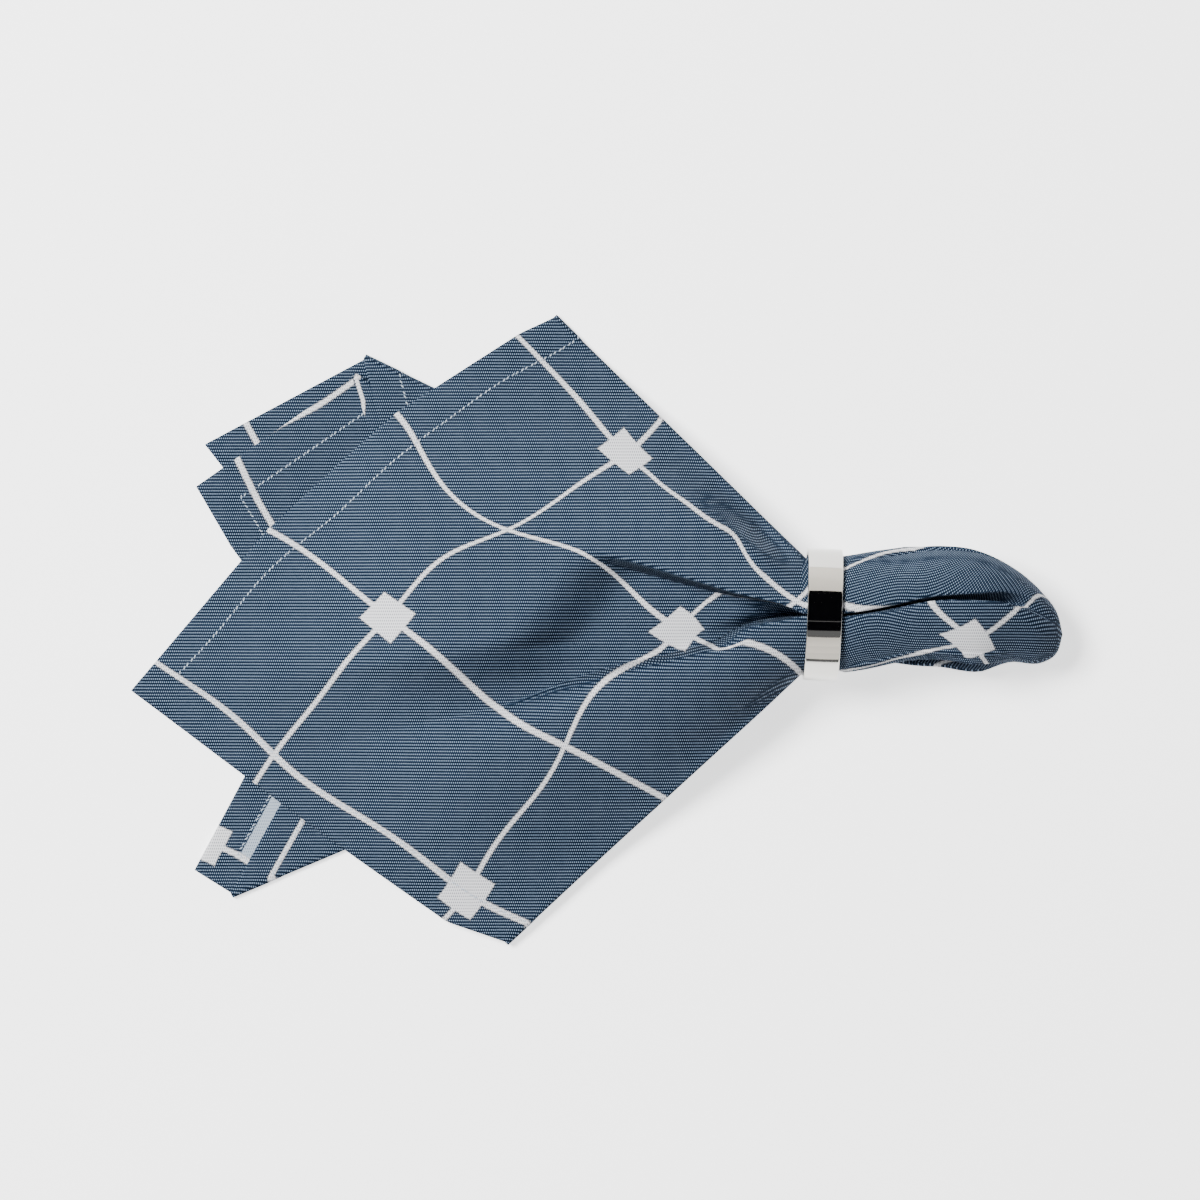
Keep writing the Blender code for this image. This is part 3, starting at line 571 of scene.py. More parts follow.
def flat_reach(layer):
    """How far out from the middle of the flat cloth each row lies, as a share of the way to the hem, for
    a few places along a layer: the way along the layer from the hem is the same on the flat cloth."""
    start, stop = layer_ends(layer)
    alongs = np.linspace(start, stop, 2 + int((stop - start) / REACH_APART))
    points = np.array([layer_points(layer, alongs, row).T for row in ROWS + [("puff", 1.0)]])
    steps = np.linalg.norm(np.diff(points, axis=0), axis=2)
    length = np.concatenate((np.zeros((1, len(alongs))), np.cumsum(steps, axis=0)))
    whole = np.linalg.norm(flat_hem(alongs) - MIDDLE, axis=1)
    mouth = len(HEM_WAYS) + len(FAN_WAYS) + len(RING_PARTS) - 1
    reach = 1 - length / whole
    rest = (length[mouth:] - length[mouth]) / (length[-1] - length[mouth])
    reach[mouth:] = reach[mouth] * (1 - rest) ** TIP_DRAW
    return alongs, reach[:-1]


def flat_places(alongs):
    """Where every point of the grid is on the flat square."""
    known = [flat_reach(layer) for layer in range(len(FOLDS["along"]) - 1)]
    places = np.concatenate([place for place, _ in known])
    reach = np.concatenate([amount for _, amount in known], axis=1)
    places = np.concatenate(([places[-1] - 4 * SIDE], places))
    reach = np.concatenate((reach[:, -1:], reach), axis=1)
    amount = np.array([np.interp(along, places, line) for along, line in zip(alongs, reach)])
    return MIDDLE + (flat_hem(alongs) - MIDDLE) * amount[..., None], amount


# How the top layer lies: places of the flat cloth, along the check's lines, and where each shows in the
# picture, in pixels to the right and down. Most were measured. Set by judgement between those are
# the four 12 mm inside the hem, and in the valley (140.5, 132) and the last two. Near the ring, where cloth
# is tucked away in the creases, the part of the layer is told too; "all" is anywhere on it.
PIXEL = 0.345
PICTURE_MIDDLE = (598.0, 629.5)
PARTS = {"all": (0, TOP_COLUMNS), "south": (0, 46), "valley": (56, 108), "north": (116, TOP_COLUMNS)}
LAY = {
    "all": table("u v right down", (
        (14.5, 11, 190, 683), (30.6, 11, 230.5, 709), (52, 11, 278.4, 751), (75.8, 11, 334, 794),
        (96.4, 11, 385, 827), (117.6, 11, 437, 861.5), (131.6, 11, 470, 886), (145, 11, 503, 908),
        (155, 11, 532, 917),
        (0, 71.5, 271.5, 530), (22, 71.5, 326, 562), (52, 71.5, 394, 619), (62.5, 71.5, 415, 635),
        (80, 71.5, 452, 665), (98.2, 71.5, 488.5, 698), (112, 71.5, 518, 721.5), (122.8, 71.5, 544, 735),
        (131.6, 71.5, 566, 744), (145, 71.5, 599, 763), (159.6, 71.5, 636, 780.5), (170.8, 71.5, 665, 792),
        (0, 132, 399, 415), (18.1, 132, 430, 462), (35.7, 132, 466, 506), (44.5, 132, 489, 523),
        (52, 132, 511, 533), (66.6, 132, 547, 539.5), (79, 132, 577, 547), (89.6, 132, 599, 562),
        (0, 192.5, 522, 335), (12.8, 192.5, 547, 365), (26.9, 192.5, 577, 396), (41.2, 192.5, 606, 429),
        (52, 192.5, 628.5, 454), (58.9, 192.5, 640.6, 469.6), (68.9, 192.5, 663, 487),
        (52, 24.8, 304, 720), (52, 40.1, 334, 687), (52, 57.3, 363, 646), (52, 85, 415, 591),
        (52, 100.5, 437, 559), (52, 113.8, 466, 542), (52, 145.5, 540, 520), (52, 162.6, 570, 493),
        (52, 176.6, 599, 477),
        (131.6, 29.1, 496, 841.6), (131.6, 44.6, 525, 808.5), (131.6, 57.5, 547, 779),
        (131.6, 83.9, 581, 713), (131.6, 95.9, 599, 685), (131.6, 108.7, 628.5, 665),
        (131.6, 114.5, 642, 661), (52, 0, 260, 785), (131.6, 0, 450, 920),
        (12, 40, 233.9, 623.4), (12, 100, 355.1, 501.7), (12, 162, 479.2, 404.3), (12, 205, 570.5, 349.5),
    )),
    "south": table("u v right down", (
        (151, 132, 733, 636), (156, 132, 744, 635), (161.5, 132, 756, 640), (167, 132, 770, 648),
        (173, 132, 783.5, 658), (180.7, 132, 799, 671),
    )),
    "valley": table("u v right down", (
        (105.6, 132, 628.5, 589), (119.6, 132, 654, 613), (131.6, 132, 679, 628), (140.5, 132, 697.7, 642.8),
        (131.6, 140.4, 696, 612.4), (131.6, 150, 718, 594), (112, 145, 671.6, 579.6),
        (147, 163, 775.1, 608.1),
    )),
    "north": table("u v right down", (
        (81.3, 192.5, 692, 506), (90.4, 192.5, 713, 521), (101, 192.5, 734, 542), (111.2, 192.5, 754, 562.5),
        (119, 192.5, 770, 578), (126.4, 192.5, 783.5, 593.5), (131.6, 192.5, 794, 604),
    )),
}
LAY_REACH = 34.0
LAY_EASE = 0.04
# Two creases set the top layer's parts apart: over which share of the way, and between which columns
LAY_APART = 34.0
BEHIND_RIDGE = ((0.76, 0.92), (44, 58))
UNDER_LIP = ((0.50, 0.70), (106, 118))
# Beside its two folds the top layer's map passes into the rest of the cloth's
EDGE_REACH = 30.0
RIM = 8
RIM_ROWS = 4

# How the puff lies, in the same way: the square's middle and the stripes' ends were measured, the places
# between them set by judgement, and the last is the tip. Its cloth is developed from the south lip: x, and
# the length of cloth across, of which the walls of the cleft count for a share. Its columns are the last
# layer's, the top layer's with both folds, and some of the next layer's.
PUFF_LAY = table("u v right down", (
    (211.2, 146, 838, 668), (211.2, 156, 863.2, 666), (211.2, 170, 905, 655), (211.2, 181, 943, 645.7),
    (211.2, 192.5, 970, 640), (211.2, 205, 1001, 622.5), (211.2, 222, 1045, 598), (189, 192.5, 922, 602),
    (200, 192.5, 944.7, 620.8), (223, 192.5, 985, 671), (225, 225, 1059.7, 634.1),
))
PUFF_CENTRE = (211.2, 192.5)
PUFF_LAY_REACH = 22.0
PUFF_TURN = ((0.404, -0.984), (0.786, 0.717))
CLEFT_SHARE = 0.8
FLANK_COLUMNS = LAYER_STEPS[9] + 1
NORTH_COLUMNS = 2 * FOLD_STEPS + TOP_COLUMNS + 14
FLANK_FADES = 0.6
NORTH_FADES = 200

# Places are compared as the camera sees them: its height and axis, the level at which a pixel's size holds,
# and by how much of its height a point counts as nearer
CAMERA_HIGH = 2000.0
CAMERA_AXIS = (1.4, 10.2)
SCALE_LEVEL = 10.0
HIGHER_WINS = 0.05


def on_table(lay):
    """The picture's places in plan, to a tenth of a millimetre: pixels from the middle times their size."""
    x = (lay["right"] - PICTURE_MIDDLE[0]) * PIXEL
    y = (PICTURE_MIDDLE[1] - lay["down"]) * PIXEL
    return x.round(1), y.round(1)


def nearest_seen(points, flat, lay):
    """The flat place of the grid point that lies nearest to each of the picture's places, seen from
    straight above, the higher one where two are as near."""
    x, y = on_table(lay)
    far = (CAMERA_HIGH - SCALE_LEVEL) / (CAMERA_HIGH - points[:, 2])
    seen_x = CAMERA_AXIS[0] + (points[:, 0] - CAMERA_AXIS[0]) * far
    seen_y = CAMERA_AXIS[1] + (points[:, 1] - CAMERA_AXIS[1]) * far
    apart = np.hypot(seen_x[:, None] - x, seen_y[:, None] - y) - HIGHER_WINS * points[:, 2, None]
    return flat[np.argmin(apart, axis=0)]


def bells(places, known, moves, reach):
    """How far each place moves, when each known place moves as it should: a sum of bells, one at each
    known place, whose heights solve for the moves."""
    def sums(spots):
        """Each known place's bell at each spot: e to the power of minus the squared distance in reaches."""
        apart = np.linalg.norm(spots[:, None] - known[None], axis=2)
        return np.exp(-(apart / reach) ** 2)
    heights = np.linalg.solve(sums(known) + LAY_EASE * np.eye(len(known)), moves)
    return (sums(places.reshape(-1, places.shape[-1])) @ heights).reshape(*places.shape[:-1], 2)


def told_apart(points, ways):
    """Plan places of the top layer, and one more measure that sets its three parts apart where cloth is
    tucked away between them: in the crease under the lip, and nearer the ring behind the south ridge."""
    column = np.arange(points.shape[1])
    behind, under = (
        smooth(ways, *rises)[:, None] * np.interp(column, between, (0, LAY_APART))
        for rises, between in (BEHIND_RIDGE, UNDER_LIP))
    return np.concatenate((points[..., :2], (behind + under)[..., None]), axis=2)


def top_places(points, apart):
    """Where the top layer is on the flat square: the straight map that suits the known places best, and
    bells for what is left."""
    known = []
    for part, (first, stop) in PARTS.items():
        part_points = points[:, first:stop].reshape(-1, 3)
        known.append(nearest_seen(part_points, apart[:, first:stop].reshape(-1, 3), LAY[part]))
    known = np.concatenate(known)
    wanted = np.concatenate([np.column_stack((LAY[part]["u"], LAY[part]["v"])) for part in PARTS])

    def straight(places):
        """Plan places with a 1 beside them, for a straight map with a shift."""
        return np.concatenate((places[..., :2], np.ones(places.shape[:-1] + (1,))), axis=-1)
    turn = np.linalg.lstsq(straight(known), wanted, rcond=None)[0]
    return straight(apart) @ turn + bells(apart, known, wanted - straight(known) @ turn, LAY_REACH)


def developed(strip, lip, far_lip):
    """The puff's rows spread flat: x, and the length of cloth across from the column of the south lip,
    placed as that lip is. The cleft's walls, up to the far lip, count for a share."""
    steps = np.linalg.norm(np.diff(strip[..., 1:], axis=1), axis=2)
    steps[:, lip:far_lip] *= CLEFT_SHARE
    length = np.concatenate((np.zeros((len(strip), 1)), np.cumsum(steps, axis=1)), axis=1)
    across = strip[:, lip, 1, None] + length - length[:, lip, None]
    return np.stack((strip[..., 0], across), axis=2)


def puff_places(strip, spread):
    """Where the puff's top is on the flat square: a turn that suits it, and bells at the known places."""
    near = nearest_seen(strip.reshape(-1, 3), spread.reshape(-1, 2), PUFF_LAY)
    wanted = np.column_stack((PUFF_LAY["u"], PUFF_LAY["v"]))
    turn = np.array(PUFF_TURN).T
    centre = np.flatnonzero((wanted == PUFF_CENTRE).all(axis=1))[0]
    plain = wanted[centre] + (near - near[centre]) @ turn
    moved = bells(spread, near, wanted - plain, PUFF_LAY_REACH)
    return wanted[centre] + (spread - near[centre]) @ turn + moved


def sheet_places(points, alongs):
    """For every point of the grid: its place on the flat square, how far out from the middle it is there,
    its place on the weave's own map, and 1 where it is loose from that map. Under the folds the flat place
    is worked out from the hem's, and on top from the picture's places. The weave's map is the plan, with the
    puff developed, turned by 45 degrees."""
    flat, reach = flat_places(alongs)
    mouth = len(HEM_WAYS) + len(FAN_WAYS)
    through = mouth + len(RING_PARTS)
    ways = np.array([way if part == "fan" else 1.0 for part, way in ROWS[:through]])
    top_flat = top_places(points[:through, top], told_apart(points[:through, top], ways))
    rim_columns = np.r_[0:RIM, TOP_COLUMNS - RIM - 1:TOP_COLUMNS]
    known = flat[:through:RIM_ROWS, top][:, rim_columns].reshape(-1, 2)
    flat = flat + bells(flat, known, top_flat[::RIM_ROWS, rim_columns].reshape(-1, 2) - known, EDGE_REACH)
    from_side = np.minimum(np.arange(TOP_COLUMNS), np.arange(TOP_COLUMNS)[::-1])
    inner = smooth(from_side, -1, RIM)[:, None]
    flat[:through, top] = flat[:through, top] * (1 - inner) + top_flat * inner

    last = points.shape[1]
    order = np.concatenate((np.arange(last - FLANK_COLUMNS, last), np.arange(NORTH_COLUMNS)))
    strip = points[mouth:, order]
    lip = FLANK_COLUMNS + FOLD_STEPS + TOP_STEPS[0]
    spread = developed(strip, lip, lip + sum(TOP_STEPS[1:5]))
    column = np.arange(len(order))
    seen = smooth(column, 0, FLANK_COLUMNS * FLANK_FADES) * smooth(-column, 1 - len(order), -NORTH_FADES)
    passed = smooth(np.arange(len(strip)), -1, len(RING_PARTS) - 1)[:, None]
    known_share = (passed * seen)[..., None]
    flat[mouth:, order] = flat[mouth:, order] * (1 - known_share) + puff_places(strip, spread) * known_share
    plan = points[..., :2].copy()
    plan[mouth:, order] = plan[mouth:, order] * (1 - passed[..., None]) + spread * passed[..., None]
    woven = plan @ np.array(((1.0, 1.0), (-1.0, 1.0))) / math.sqrt(2.0)
    loose = np.zeros(points.shape[:2])
    loose[mouth:] = 1.0
    loose[mouth:, order] = 0.0
    return flat, reach, woven, loose


def put_in_scene(name, data):
    """An object made of a mesh, a lamp or a camera."""
    made = bpy.data.objects.new(name, data)
    bpy.context.scene.collection.objects.link(made)
    return made


# From which slope on, as 1 less the upright part of the normal, the weave follows the flat cloth
STEEP = (0.4, 0.65)


def add_sheet(name, points, maps, tip, loose):
    """A mesh on a grid of points that is closed round and ends in one point, with places of the flat
    cloth as its UV maps. Quads join each point to the next in its row and in the next row. An attribute
    marks where it is steep, or loose from the weave's own map."""
    rows, columns, _ = points.shape
    index = np.arange(rows * columns).reshape(rows, columns)
    after = np.roll(index, -1, axis=1)
    quads = np.stack((index[:-1], index[1:], after[1:], after[:-1]), axis=-1).reshape(-1, 4)
    last = np.stack((index[-1], np.full(columns, rows * columns), after[-1]), axis=-1)
    mesh = bpy.data.meshes.new(name)
    places = np.concatenate((points.reshape(-1, 3), [tip])) * MM
    mesh.from_pydata(places.tolist(), [], quads.tolist() + last.tolist())
    corners = np.concatenate((quads.ravel(), last.ravel()))
    out = np.cross(np.gradient(points, axis=0), np.roll(points, -1, axis=1) - np.roll(points, 1, axis=1))
    upright = 1 - np.abs(out[..., 2]) / np.maximum(np.linalg.norm(out, axis=2), 1e-9)
    mark = np.append(np.maximum(smooth(upright, *STEEP), loose).ravel(), 0.0)
    mesh.attributes.new("steep", "FLOAT", "POINT").data.foreach_set("value", mark.astype(np.float32))
    for title, flat in maps.items():
        flats = np.concatenate((flat.reshape(-1, 2), [flat[-1].mean(axis=0)])) / SIDE
        mesh.uv_layers.new(name=title).data.foreach_set("uv", flats[corners].astype(np.float32).ravel())
    mesh.shade_smooth()
    return put_in_scene(name, mesh)


grid = [sheet_row(row) for row in ROWS]
points = np.array([place for place, _ in grid])
alongs = np.array([line for _, line in grid])
flat, reach, woven, loose = sheet_places(points, alongs)
tip = (PUFF["x"][-1], PUFF["y"][-1], PUFF["z"][-1])
cloth = add_sheet("napkin_cloth_sheet", points, {"cloth": flat, "weave": woven}, tip, loose)
from_edge = ((1 - reach) * MIDDLE).ravel()
plain = THICK / HEM_THICK
hemmed = plain + (1 - plain) * (1 - smooth(from_edge, HEM_WIDE - HEM_EASE, HEM_WIDE + HEM_EASE))
weights = cloth.vertex_groups.new(name="thickness")
for value in np.unique(hemmed.round(2)):
    weights.add(np.flatnonzero(hemmed.round(2) == value).tolist(), float(value), "REPLACE")
weights.add([len(hemmed)], plain, "REPLACE")
solid = cloth.modifiers.new("Sheet", "SOLIDIFY")
solid.thickness = HEM_THICK * MM
solid.offset = 0.0
solid.vertex_group = "thickness"
solid.thickness_vertex_group = 0.0
solid.material_offset = 1
solid.material_offset_rim = 0


class Shade:
    """A number or colour that changes over a surface, read from one socket. Arithmetic adds Math nodes."""

    def __init__(self, socket):
        self.socket = socket
        self.tree = socket.id_data

    def node(self, kind, settings, inputs, output=0):
        """One more node: first its settings, then values or links for its sockets."""
        made = self.tree.nodes.new(kind)
        for name, value in settings.items():
            setattr(made, name, value)
        for name, value in inputs.items():
            if isinstance(value, Shade):
                self.tree.links.new(value.socket, made.inputs[name])
            else:
                made.inputs[name].default_value = value
        return Shade(made.outputs[output])

    def feed(self, socket):
        """A link from this number or colour to a socket of the shader."""
        self.tree.links.new(self.socket, socket)

    def math(self, operation, *others):
        """A Math node on this number and others."""
        return self.node("ShaderNodeMath", {"operation": operation}, dict(enumerate((self,) + others)))

    def mix(self, low, high):
        """A colour from low, where this number is 0, to high, where it is 1."""
        return self.node("ShaderNodeMix", {"data_type": "RGBA"}, {0: self, 6: low, 7: high}, 2)

    def step(self, low, high):
        """0 below low, 1 above high, and a soft slope between."""
        settings = {"interpolation_type": "SMOOTHSTEP"}
        return self.node("ShaderNodeMapRange", settings, {0: self, 1: low, 2: high})

    def __add__(self, other):
        return self.math("ADD", other)

    def __sub__(self, other):
        return self.math("SUBTRACT", other)

    def __rsub__(self, other):
        return self.math("MULTIPLY", -1.0).math("ADD", other)

    def __mul__(self, other):
        return self.math("MULTIPLY", other)

    def __truediv__(self, other):
        return self.math("DIVIDE", other)

    __radd__ = __add__
    __rmul__ = __mul__


def new_finish(name, roughness, metallic=0.0):
    """A material with its plain values set, and its shader."""
    made = bpy.data.materials.new(name)
    made.use_nodes = True
    shader = made.node_tree.nodes["Principled BSDF"]
    shader.inputs["Roughness"].default_value = roughness
    shader.inputs["Metallic"].default_value = metallic
    return made, shader


# The check: where the stripes of each way start, how far apart they are and half their width, and the
# white square on every other crossing. COUNTED keeps the number of a crossing above 0.
STRIPE_A = (11.0, 60.5, 1.05)
STRIPE_B = (52.0, 79.6, 0.85)
SQUARE_HALF = 6.8
COUNTED = 20.0
# The last stripe runs out along the hem's edge, past it by a share of its half width, and shows on part
# of it alone
LAST_STRIPE_OUT = 1.5
LAST_STRIPE_FROM = 400.0
LAST_STRIPE_IN = 2.6
LAST_STRIPE_STARTS = (426.0, 400.0)
LAST_STRIPE_ENDS = (370.0, 378.0)
# One stripe is led aside near two hems, so that it keeps under the top layer as in the picture
ASIDE = 20.0
ASIDE_LOW = (330.0, 352.0)
ASIDE_HIGH = (400.0, 388.0)
ASIDE_NEAR = (110.0, 80.0)
ASIDE_FAR = (400.0, 420.0)
# The weave: its thread, and how its dots of weft show in the ground, in the white and at a stripe's side
THREAD = 0.5
GROUND_DOTS = (0.6, 2.8)
WHITE_DOTS = (-0.6, 2.4)
RAGGED = -0.2
SIDE_EASE = (-0.1, 0.1)
TURNED_EASE = 0.2
# SHADOW is painted shade in the grooves between the twill's rows; INDIGO is the warp's own colour on their
# crests
SHADOW = (0.002, 0.006, 0.015, 1.0)
INDIGO = (0.013, 0.028, 0.053, 1.0)
SKY = (0.27, 0.34, 0.44, 1.0)
WHITE = (0.66, 0.66, 0.68, 1.0)
GREY = (0.22, 0.23, 0.25, 1.0)
BACK_LOW = (0.07, 0.10, 0.15, 1.0)
BACK_HIGH = (0.34, 0.40, 0.47, 1.0)
COTTON_ROUGH = 0.88
COTTON_GLOSS = 0.06
COTTON_RELIEF = {"Strength": 0.35, "Distance": 0.0002}


def flat_sockets(start, uv_map):
    """The two coordinates of a UV map, in millimetres of the flat cloth."""
    place = start.node("ShaderNodeUVMap", {"uv_map": uv_map}, {})
    parts = place.node("ShaderNodeSeparateXYZ", {}, {0: place}).socket.node.outputs
    return Shade(parts[0]) * SIDE, Shade(parts[1]) * SIDE


def twill_rows(warp, weft):
    """The twill's diagonal rows, from -1 to 1, and the dots of weft between them, from -1.5 to 3."""
    turn = 2 * math.pi / (3 * THREAD)
    rows, one_way, other_way = (
        (line * turn).math("COSINE") for line in (warp - weft, warp * 2.0 + weft, warp + weft * 2.0))
    return rows, rows + one_way + other_way


def twill(name, wrong_side):
    """Yarn-dyed cotton twill, in millimetres of the flat cloth: indigo warp with pale weft showing as rows
    of dots on the diagonal, a white check, and on the wrong side the turned hem in the right side's
    colours."""
    made, shader = new_finish(name, COTTON_ROUGH)
    shader.inputs["Specular IOR Level"].default_value = COTTON_GLOSS
    start = Shade(shader.outputs["BSDF"])
    across, up = flat_sockets(start, "cloth")
    steep = start.node("ShaderNodeAttribute", {"attribute_name": "steep"}, {}, "Fac")
    rows, dots = twill_rows(*flat_sockets(start, "weave"))
    steep_rows, steep_dots = twill_rows(across, up)
    rows = rows + (steep_rows - rows) * steep
    dots = dots + (steep_dots - dots) * steep
    pale = dots.step(*GROUND_DOTS)
    crest = rows * 0.5 + 0.5

    shown = up.step(*LAST_STRIPE_STARTS) * up.step(*LAST_STRIPE_ENDS)
    last = across + across.step(LAST_STRIPE_FROM, SIDE) * (
        shown * LAST_STRIPE_IN - STRIPE_B[2] * LAST_STRIPE_OUT)
    by_hems = across.step(*ASIDE_NEAR).math("MAXIMUM", across.step(*ASIDE_FAR))
    rung = up + up.step(*ASIDE_LOW) * up.step(*ASIDE_HIGH) * by_hems * ASIDE
    from_a = rung - STRIPE_A[0]
    from_b = last - STRIPE_B[0]
    to_a = from_a.math("PINGPONG", STRIPE_A[1] / 2)
    to_b = from_b.math("PINGPONG", STRIPE_B[1] / 2)
    number = (from_a / STRIPE_A[1]).math("ROUND") + (from_b / STRIPE_B[1]).math("ROUND")
    odd = (number + COUNTED).math("MODULO", 2.0)
    ragged = dots * RAGGED
    in_stripe = (to_a + ragged - STRIPE_A[2]).math("MINIMUM", to_b + ragged - STRIPE_B[2])
    stripe = 1.0 - in_stripe.step(*SIDE_EASE)
    square = (1.0 - (to_a.math("MAXIMUM", to_b) + ragged - SQUARE_HALF).step(*SIDE_EASE)) * odd
    white = stripe.math("MAXIMUM", square)

    # The ground runs from painted shade in the grooves between the rows to the indigo warp on their crests,
    # with the pale weft dots over it
    ground = pale.mix(crest.mix(SHADOW, INDIGO), SKY)
    if wrong_side:
        near_edge = across.math("MINIMUM", up)
        far_edge = (SIDE - across).math("MINIMUM", SIDE - up)
        edge = near_edge.math("MINIMUM", far_edge)
        turned = 1.0 - edge.step(HEM_WIDE - TURNED_EASE, HEM_WIDE + TURNED_EASE)
        ground = turned.mix((1.0 - pale).mix(BACK_LOW, BACK_HIGH), ground)
    white.mix(ground, dots.step(*WHITE_DOTS).mix(WHITE, GREY)).feed(shader.inputs["Base Color"])
    bump = start.node("ShaderNodeBump", {}, {**COTTON_RELIEF, "Height": crest + pale})
    bump.feed(shader.inputs["Normal"])
    return made


cloth.data.materials.append(twill("blue_twill_face", False))
cloth.data.materials.append(twill("blue_twill_back", True))
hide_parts("napkin_cloth")
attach(cloth, "root")


# The hem is turned twice and sewn all round with one line of pale thread, in pairs of short slanted
# stitches, of which each side of the cloth shows its own.
STITCH_IN = 11.2
STITCH_APART = 3.75
STITCH_PAIR = 1.5
STITCH_LONG = 1.3
STITCH_THICK = 0.4
STITCH_SLANT = 0.45
STITCH_SIDES = 6
# A stitch's rings, as shares of its length and thickness, how flat it is, and how far it stands out
STITCH_RINGS = ((-0.5, 0.35), (-0.3, 1.0), (0.3, 1.0), (0.5, 0.35))
STITCH_FLAT = 0.7
STITCH_SUNK = 0.2
# How far along the line its way is read, and how many of the sheet's rows are looked through for it
AHEAD = 0.8
HEM_ROWS = 20
THREAD_LOW = (0.20, 0.27, 0.36, 1.0)
THREAD_HIGH = (0.62, 0.68, 0.75, 1.0)
THREAD_PLY = 1500.0
THREAD_ROUGH = 0.8


def sewn_line(grid, flat, inside):
    """The places where each column of the grid is that far inside the hem, and the way out of the cloth:
    each column's distance from the hem is read off between its two nearest rows."""
    down = np.gradient(grid, axis=0)
    along = np.roll(grid, -1, axis=1) - np.roll(grid, 1, axis=1)
    out = np.cross(down, along)
    out = out / np.linalg.norm(out, axis=2, keepdims=True)
    edge = np.maximum.accumulate(np.minimum(flat, SIDE - flat).min(axis=2)[:HEM_ROWS], axis=0)
    row = np.array([np.interp(inside, column, np.arange(HEM_ROWS)) for column in edge.T])
    upper = row.astype(int)
    columns = np.arange(grid.shape[1])
    past = (row - upper)[:, None]
    places = grid[upper, columns] * (1 - past) + grid[upper + 1, columns] * past
    return places, out[upper, columns]


def add_stitches(name, places, out, lift):
    """Short slanted stitches along a closed line, in pairs, on the side of the cloth that the lift gives.
    Each is a spindle with blunt ends: rings round its line, at shares of its length and thickness."""
    closed = np.concatenate((places, places[:1]))
    length = np.concatenate(([0.0], np.cumsum(np.linalg.norm(np.diff(closed, axis=0), axis=1))))
    starts = np.arange(0.0, length[-1] - STITCH_APART, STITCH_APART)
    middles = np.sort(np.concatenate((starts, starts + STITCH_PAIR)))

    def at(values, where):
        """Values along the closed line."""
        both = np.concatenate((values, values[:1]))
        return np.stack([np.interp(where % length[-1], length, both[:, axis]) for axis in range(3)], axis=1)

    def unit(vectors):
        """The same ways, 1 long."""
        return vectors / np.linalg.norm(vectors, axis=1, keepdims=True)
    up = unit(at(out, middles))
    ahead = unit(at(places, middles + AHEAD) - at(places, middles - AHEAD))
    line = unit(ahead + unit(np.cross(up, ahead)) * STITCH_SLANT)
    across = np.cross(up, line)
    centre = at(places, middles) + up * lift
    turn = np.arange(STITCH_SIDES) * 2 * math.pi / STITCH_SIDES
    outward = across[:, None] * np.cos(turn)[:, None] + up[:, None] * np.sin(turn)[:, None] * STITCH_FLAT
    spindles = np.stack([
        (centre + line * way * STITCH_LONG)[:, None] + outward * thick * STITCH_THICK / 2
        for way, thick in STITCH_RINGS], axis=1)
    count, levels, sides, _ = spindles.shape
    index = np.arange(count * levels * sides).reshape(count, levels, sides)
    after = np.roll(index, -1, axis=2)
    quads = np.stack((index[:, :-1], after[:, :-1], after[:, 1:], index[:, 1:]), axis=-1).reshape(-1, 4)
    caps = index[:, 0, ::-1].tolist() + index[:, -1].tolist()
    mesh = bpy.data.meshes.new(name)
    mesh.from_pydata((spindles.reshape(-1, 3) * MM).tolist(), [], quads.tolist() + caps)
    mesh.shade_smooth()
    return put_in_scene(name, mesh)


thread, shader = new_finish("pale_thread", THREAD_ROUGH)
strand = Shade(shader.outputs["BSDF"]).node("ShaderNodeTexCoord", {}, {}, "Object")
ply = strand.node("ShaderNodeTexNoise", {}, {"Vector": strand, "Scale": THREAD_PLY})
ply.mix(THREAD_LOW, THREAD_HIGH).feed(shader.inputs["Base Color"])
hem_places, hem_out = sewn_line(points, flat, STITCH_IN)
for name, side in (("hem_stitches_face", 1), ("hem_stitches_back", -1)):
    stitches = add_stitches(name, hem_places, hem_out, side * (HEM_THICK + STITCH_THICK * STITCH_SUNK) / 2)
    stitches.data.materials.append(thread)
    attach(stitches, "root")


# The ring is a flat band of steel, rolled round and welded, polished all over, with its edges just broken.
# It is pushed over the gathered cloth, which presses against it and holds it.
RING_X = 77.0
RING_TURN = math.radians(-2.3)
RING_WALL = 1.2
RING_WIDE = 11.8
RING_EDGE = 0.45
RING_STEPS = 192
RING_CORNER = 5
STEEL = (0.50, 0.49, 0.46, 1.0)
STEEL_ROUGH = 0.05


def band(radius, wall, wide, edge, steps, corner_steps):
    """A flat band turned round the X axis: a rectangle with quarter circles at its corners, carried
    round a circle."""
    turns = np.linspace(0, math.pi / 2, corner_steps)
    arcs = []
    for quarter, (side, level) in enumerate(((1, 1), (-1, 1), (-1, -1), (1, -1))):
        turn = turns + quarter * math.pi / 2
        arcs.append(np.stack((
            side * (wide / 2 - edge) + edge * np.cos(turn),
            radius - wall / 2 + level * (wall / 2 - edge) + edge * np.sin(turn)), axis=-1))
    outline = np.concatenate(arcs)
    angle = np.arange(steps) * 2 * math.pi / steps
    x = np.broadcast_to(outline[:, 0], (steps, len(outline)))
    y = outline[:, 1] * np.cos(angle)[:, None]
    z = outline[:, 1] * np.sin(angle)[:, None]
    return np.stack((x, y, z), axis=-1)


def add_tube(name, points):
    """A mesh on a grid of points that is closed both ways."""
    rows, columns, _ = points.shape
    index = np.arange(rows * columns).reshape(rows, columns)
    after = np.roll(index, -1, axis=1)
    below = np.roll(index, -1, axis=0)
    quads = np.stack((index, below, np.roll(below, -1, axis=1), after), axis=-1).reshape(-1, 4)
    mesh = bpy.data.meshes.new(name)
    mesh.from_pydata((points.reshape(-1, 3) * MM).tolist(), [], quads.tolist())
    mesh.shade_smooth()
    return put_in_scene(name, mesh)


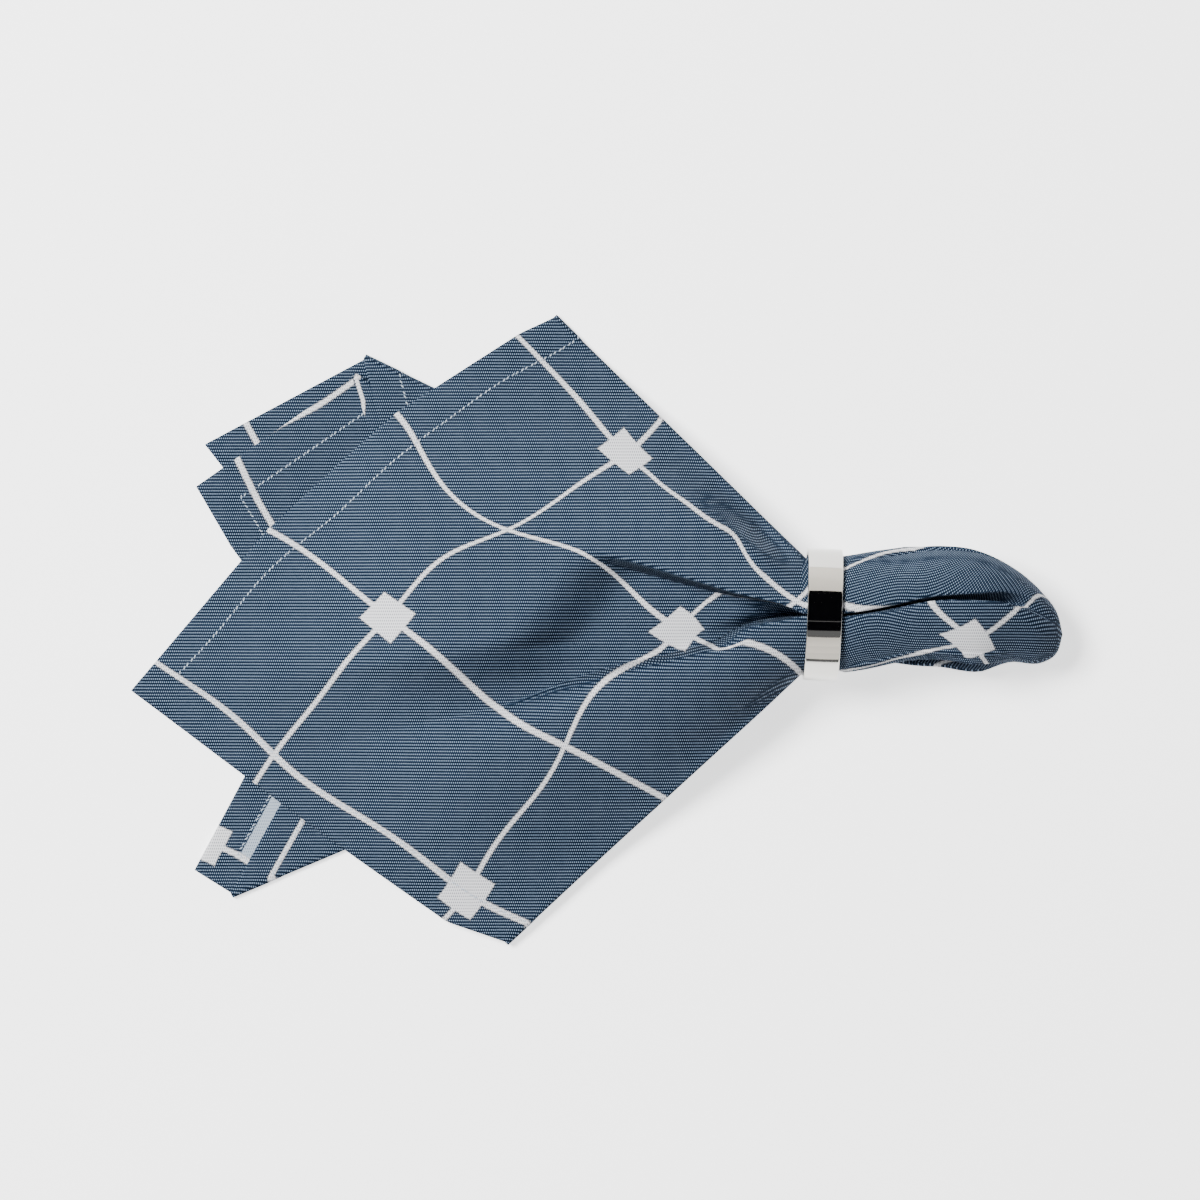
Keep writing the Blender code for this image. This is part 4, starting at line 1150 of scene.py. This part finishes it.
shape = band(RING_RADIUS, RING_WALL, RING_WIDE, RING_EDGE, RING_STEPS, RING_CORNER)
turned = np.stack((
    shape[..., 0] * math.cos(RING_TURN) - shape[..., 1] * math.sin(RING_TURN) + RING_X,
    shape[..., 0] * math.sin(RING_TURN) + shape[..., 1] * math.cos(RING_TURN) + RING_Y,
    shape[..., 2] + RING_RADIUS), axis=-1)
ring = add_tube("napkin_ring_band", turned)
polished, shader = new_finish("polished_steel_band", STEEL_ROUGH, 1.0)
shader.inputs["Base Color"].default_value = STEEL
ring.data.materials.append(polished)
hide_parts("napkin_ring")
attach(ring, "root")


# The table is a plain pale top. A studio's soft light hangs high at the upper left of the picture, and
# cards round the set give the polished ring something to mirror.
SET_HALF = 4.0
TABLE_LEVEL = -0.0002
TABLE_GLOW = 1.8
TABLE_PALE = (0.93, 0.93, 0.93, 1.0)
KEY_PLACE = (-0.95, 0.5, 1.65)
KEY_SIZE = 0.7
KEY_POWER = 110.0
AMBIENT = 0.24
CARD_ROUGH = 0.9
DARK_CARD_HIGH = 2.6
DARK_CARDS = ((-42.0, 10.6), (11.6, 27.5))
SIDE_CARDS = (
    ("north_card", 3.0, 0.0, 3.6, 1.1), ("south_card_high", -3.0, 2.0, 3.6, 0.9),
    ("south_card_middle", -3.0, 1.1, 2.0, 0.55), ("south_card_low", -3.0, 0.35, 1.1, 0.25),
)
CREAM = (1.0, 0.95, 0.88, 1.0)
DARK = (0.002, 0.002, 0.003, 1.0)
SKYLIGHT = (0.95, 0.97, 1.0, 1.0)


def add_card(name, first, last, colour, glow):
    """A flat card between two long sides along X, each at a place across and a height, of one colour, that
    shines by as much as its glow."""
    mesh = bpy.data.meshes.new(name)
    ends = ((-SET_HALF, first), (SET_HALF, first), (SET_HALF, last), (-SET_HALF, last))
    mesh.from_pydata([(x, *side) for x, side in ends], [], [(0, 1, 2, 3)])
    made = put_in_scene(name, mesh)
    finish, shader = new_finish(name, CARD_ROUGH)
    shader.inputs["Base Color"].default_value = colour
    shader.inputs["Emission Color"].default_value = colour
    shader.inputs["Emission Strength"].default_value = glow
    shader.inputs["Specular IOR Level"].default_value = 0.0
    mesh.materials.append(finish)
    made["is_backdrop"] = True
    return made


def only_mirrored(card):
    """The card is seen in the ring's polish alone."""
    card.visible_camera = False
    card.visible_diffuse = False
    card.visible_shadow = False


add_card("table", (-SET_HALF, TABLE_LEVEL), (SET_HALF, TABLE_LEVEL), TABLE_PALE, TABLE_GLOW)
for number, angles in enumerate(DARK_CARDS):
    high, low = (-DARK_CARD_HIGH * math.tan(math.radians(angle)) for angle in angles)
    only_mirrored(add_card(f"dark_card_{number}", (low, DARK_CARD_HIGH), (high, DARK_CARD_HIGH), DARK, 0.0))
for name, far, low, high, glow in SIDE_CARDS:
    only_mirrored(add_card(name, (far, low), (far, high), CREAM, glow))

world = bpy.data.worlds.new("studio")
bpy.context.scene.world = world
world.use_nodes = True
world.node_tree.nodes["Background"].inputs["Color"].default_value = SKYLIGHT
world.node_tree.nodes["Background"].inputs["Strength"].default_value = AMBIENT

lamp = bpy.data.lights.new("key", "AREA")
lamp.size = KEY_SIZE
lamp.energy = KEY_POWER
key = put_in_scene("key", lamp)
key.location = KEY_PLACE
key.rotation_euler = Vector(KEY_PLACE).to_track_quat("Z", "Y").to_euler()
key.visible_glossy = False

# The camera looks straight down from far away, as in the picture. At the level where a pixel's size holds,
# its frame is that wide in millimetres.
FRAME_WIDE = 410.7
lens = bpy.data.cameras.new("camera")
lens.lens = lens.sensor_width * (CAMERA_HIGH - SCALE_LEVEL) / FRAME_WIDE
camera = put_in_scene("camera", lens)
camera.location = (CAMERA_AXIS[0] * MM, CAMERA_AXIS[1] * MM, CAMERA_HIGH * MM)
bpy.context.scene.camera = camera

low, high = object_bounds()
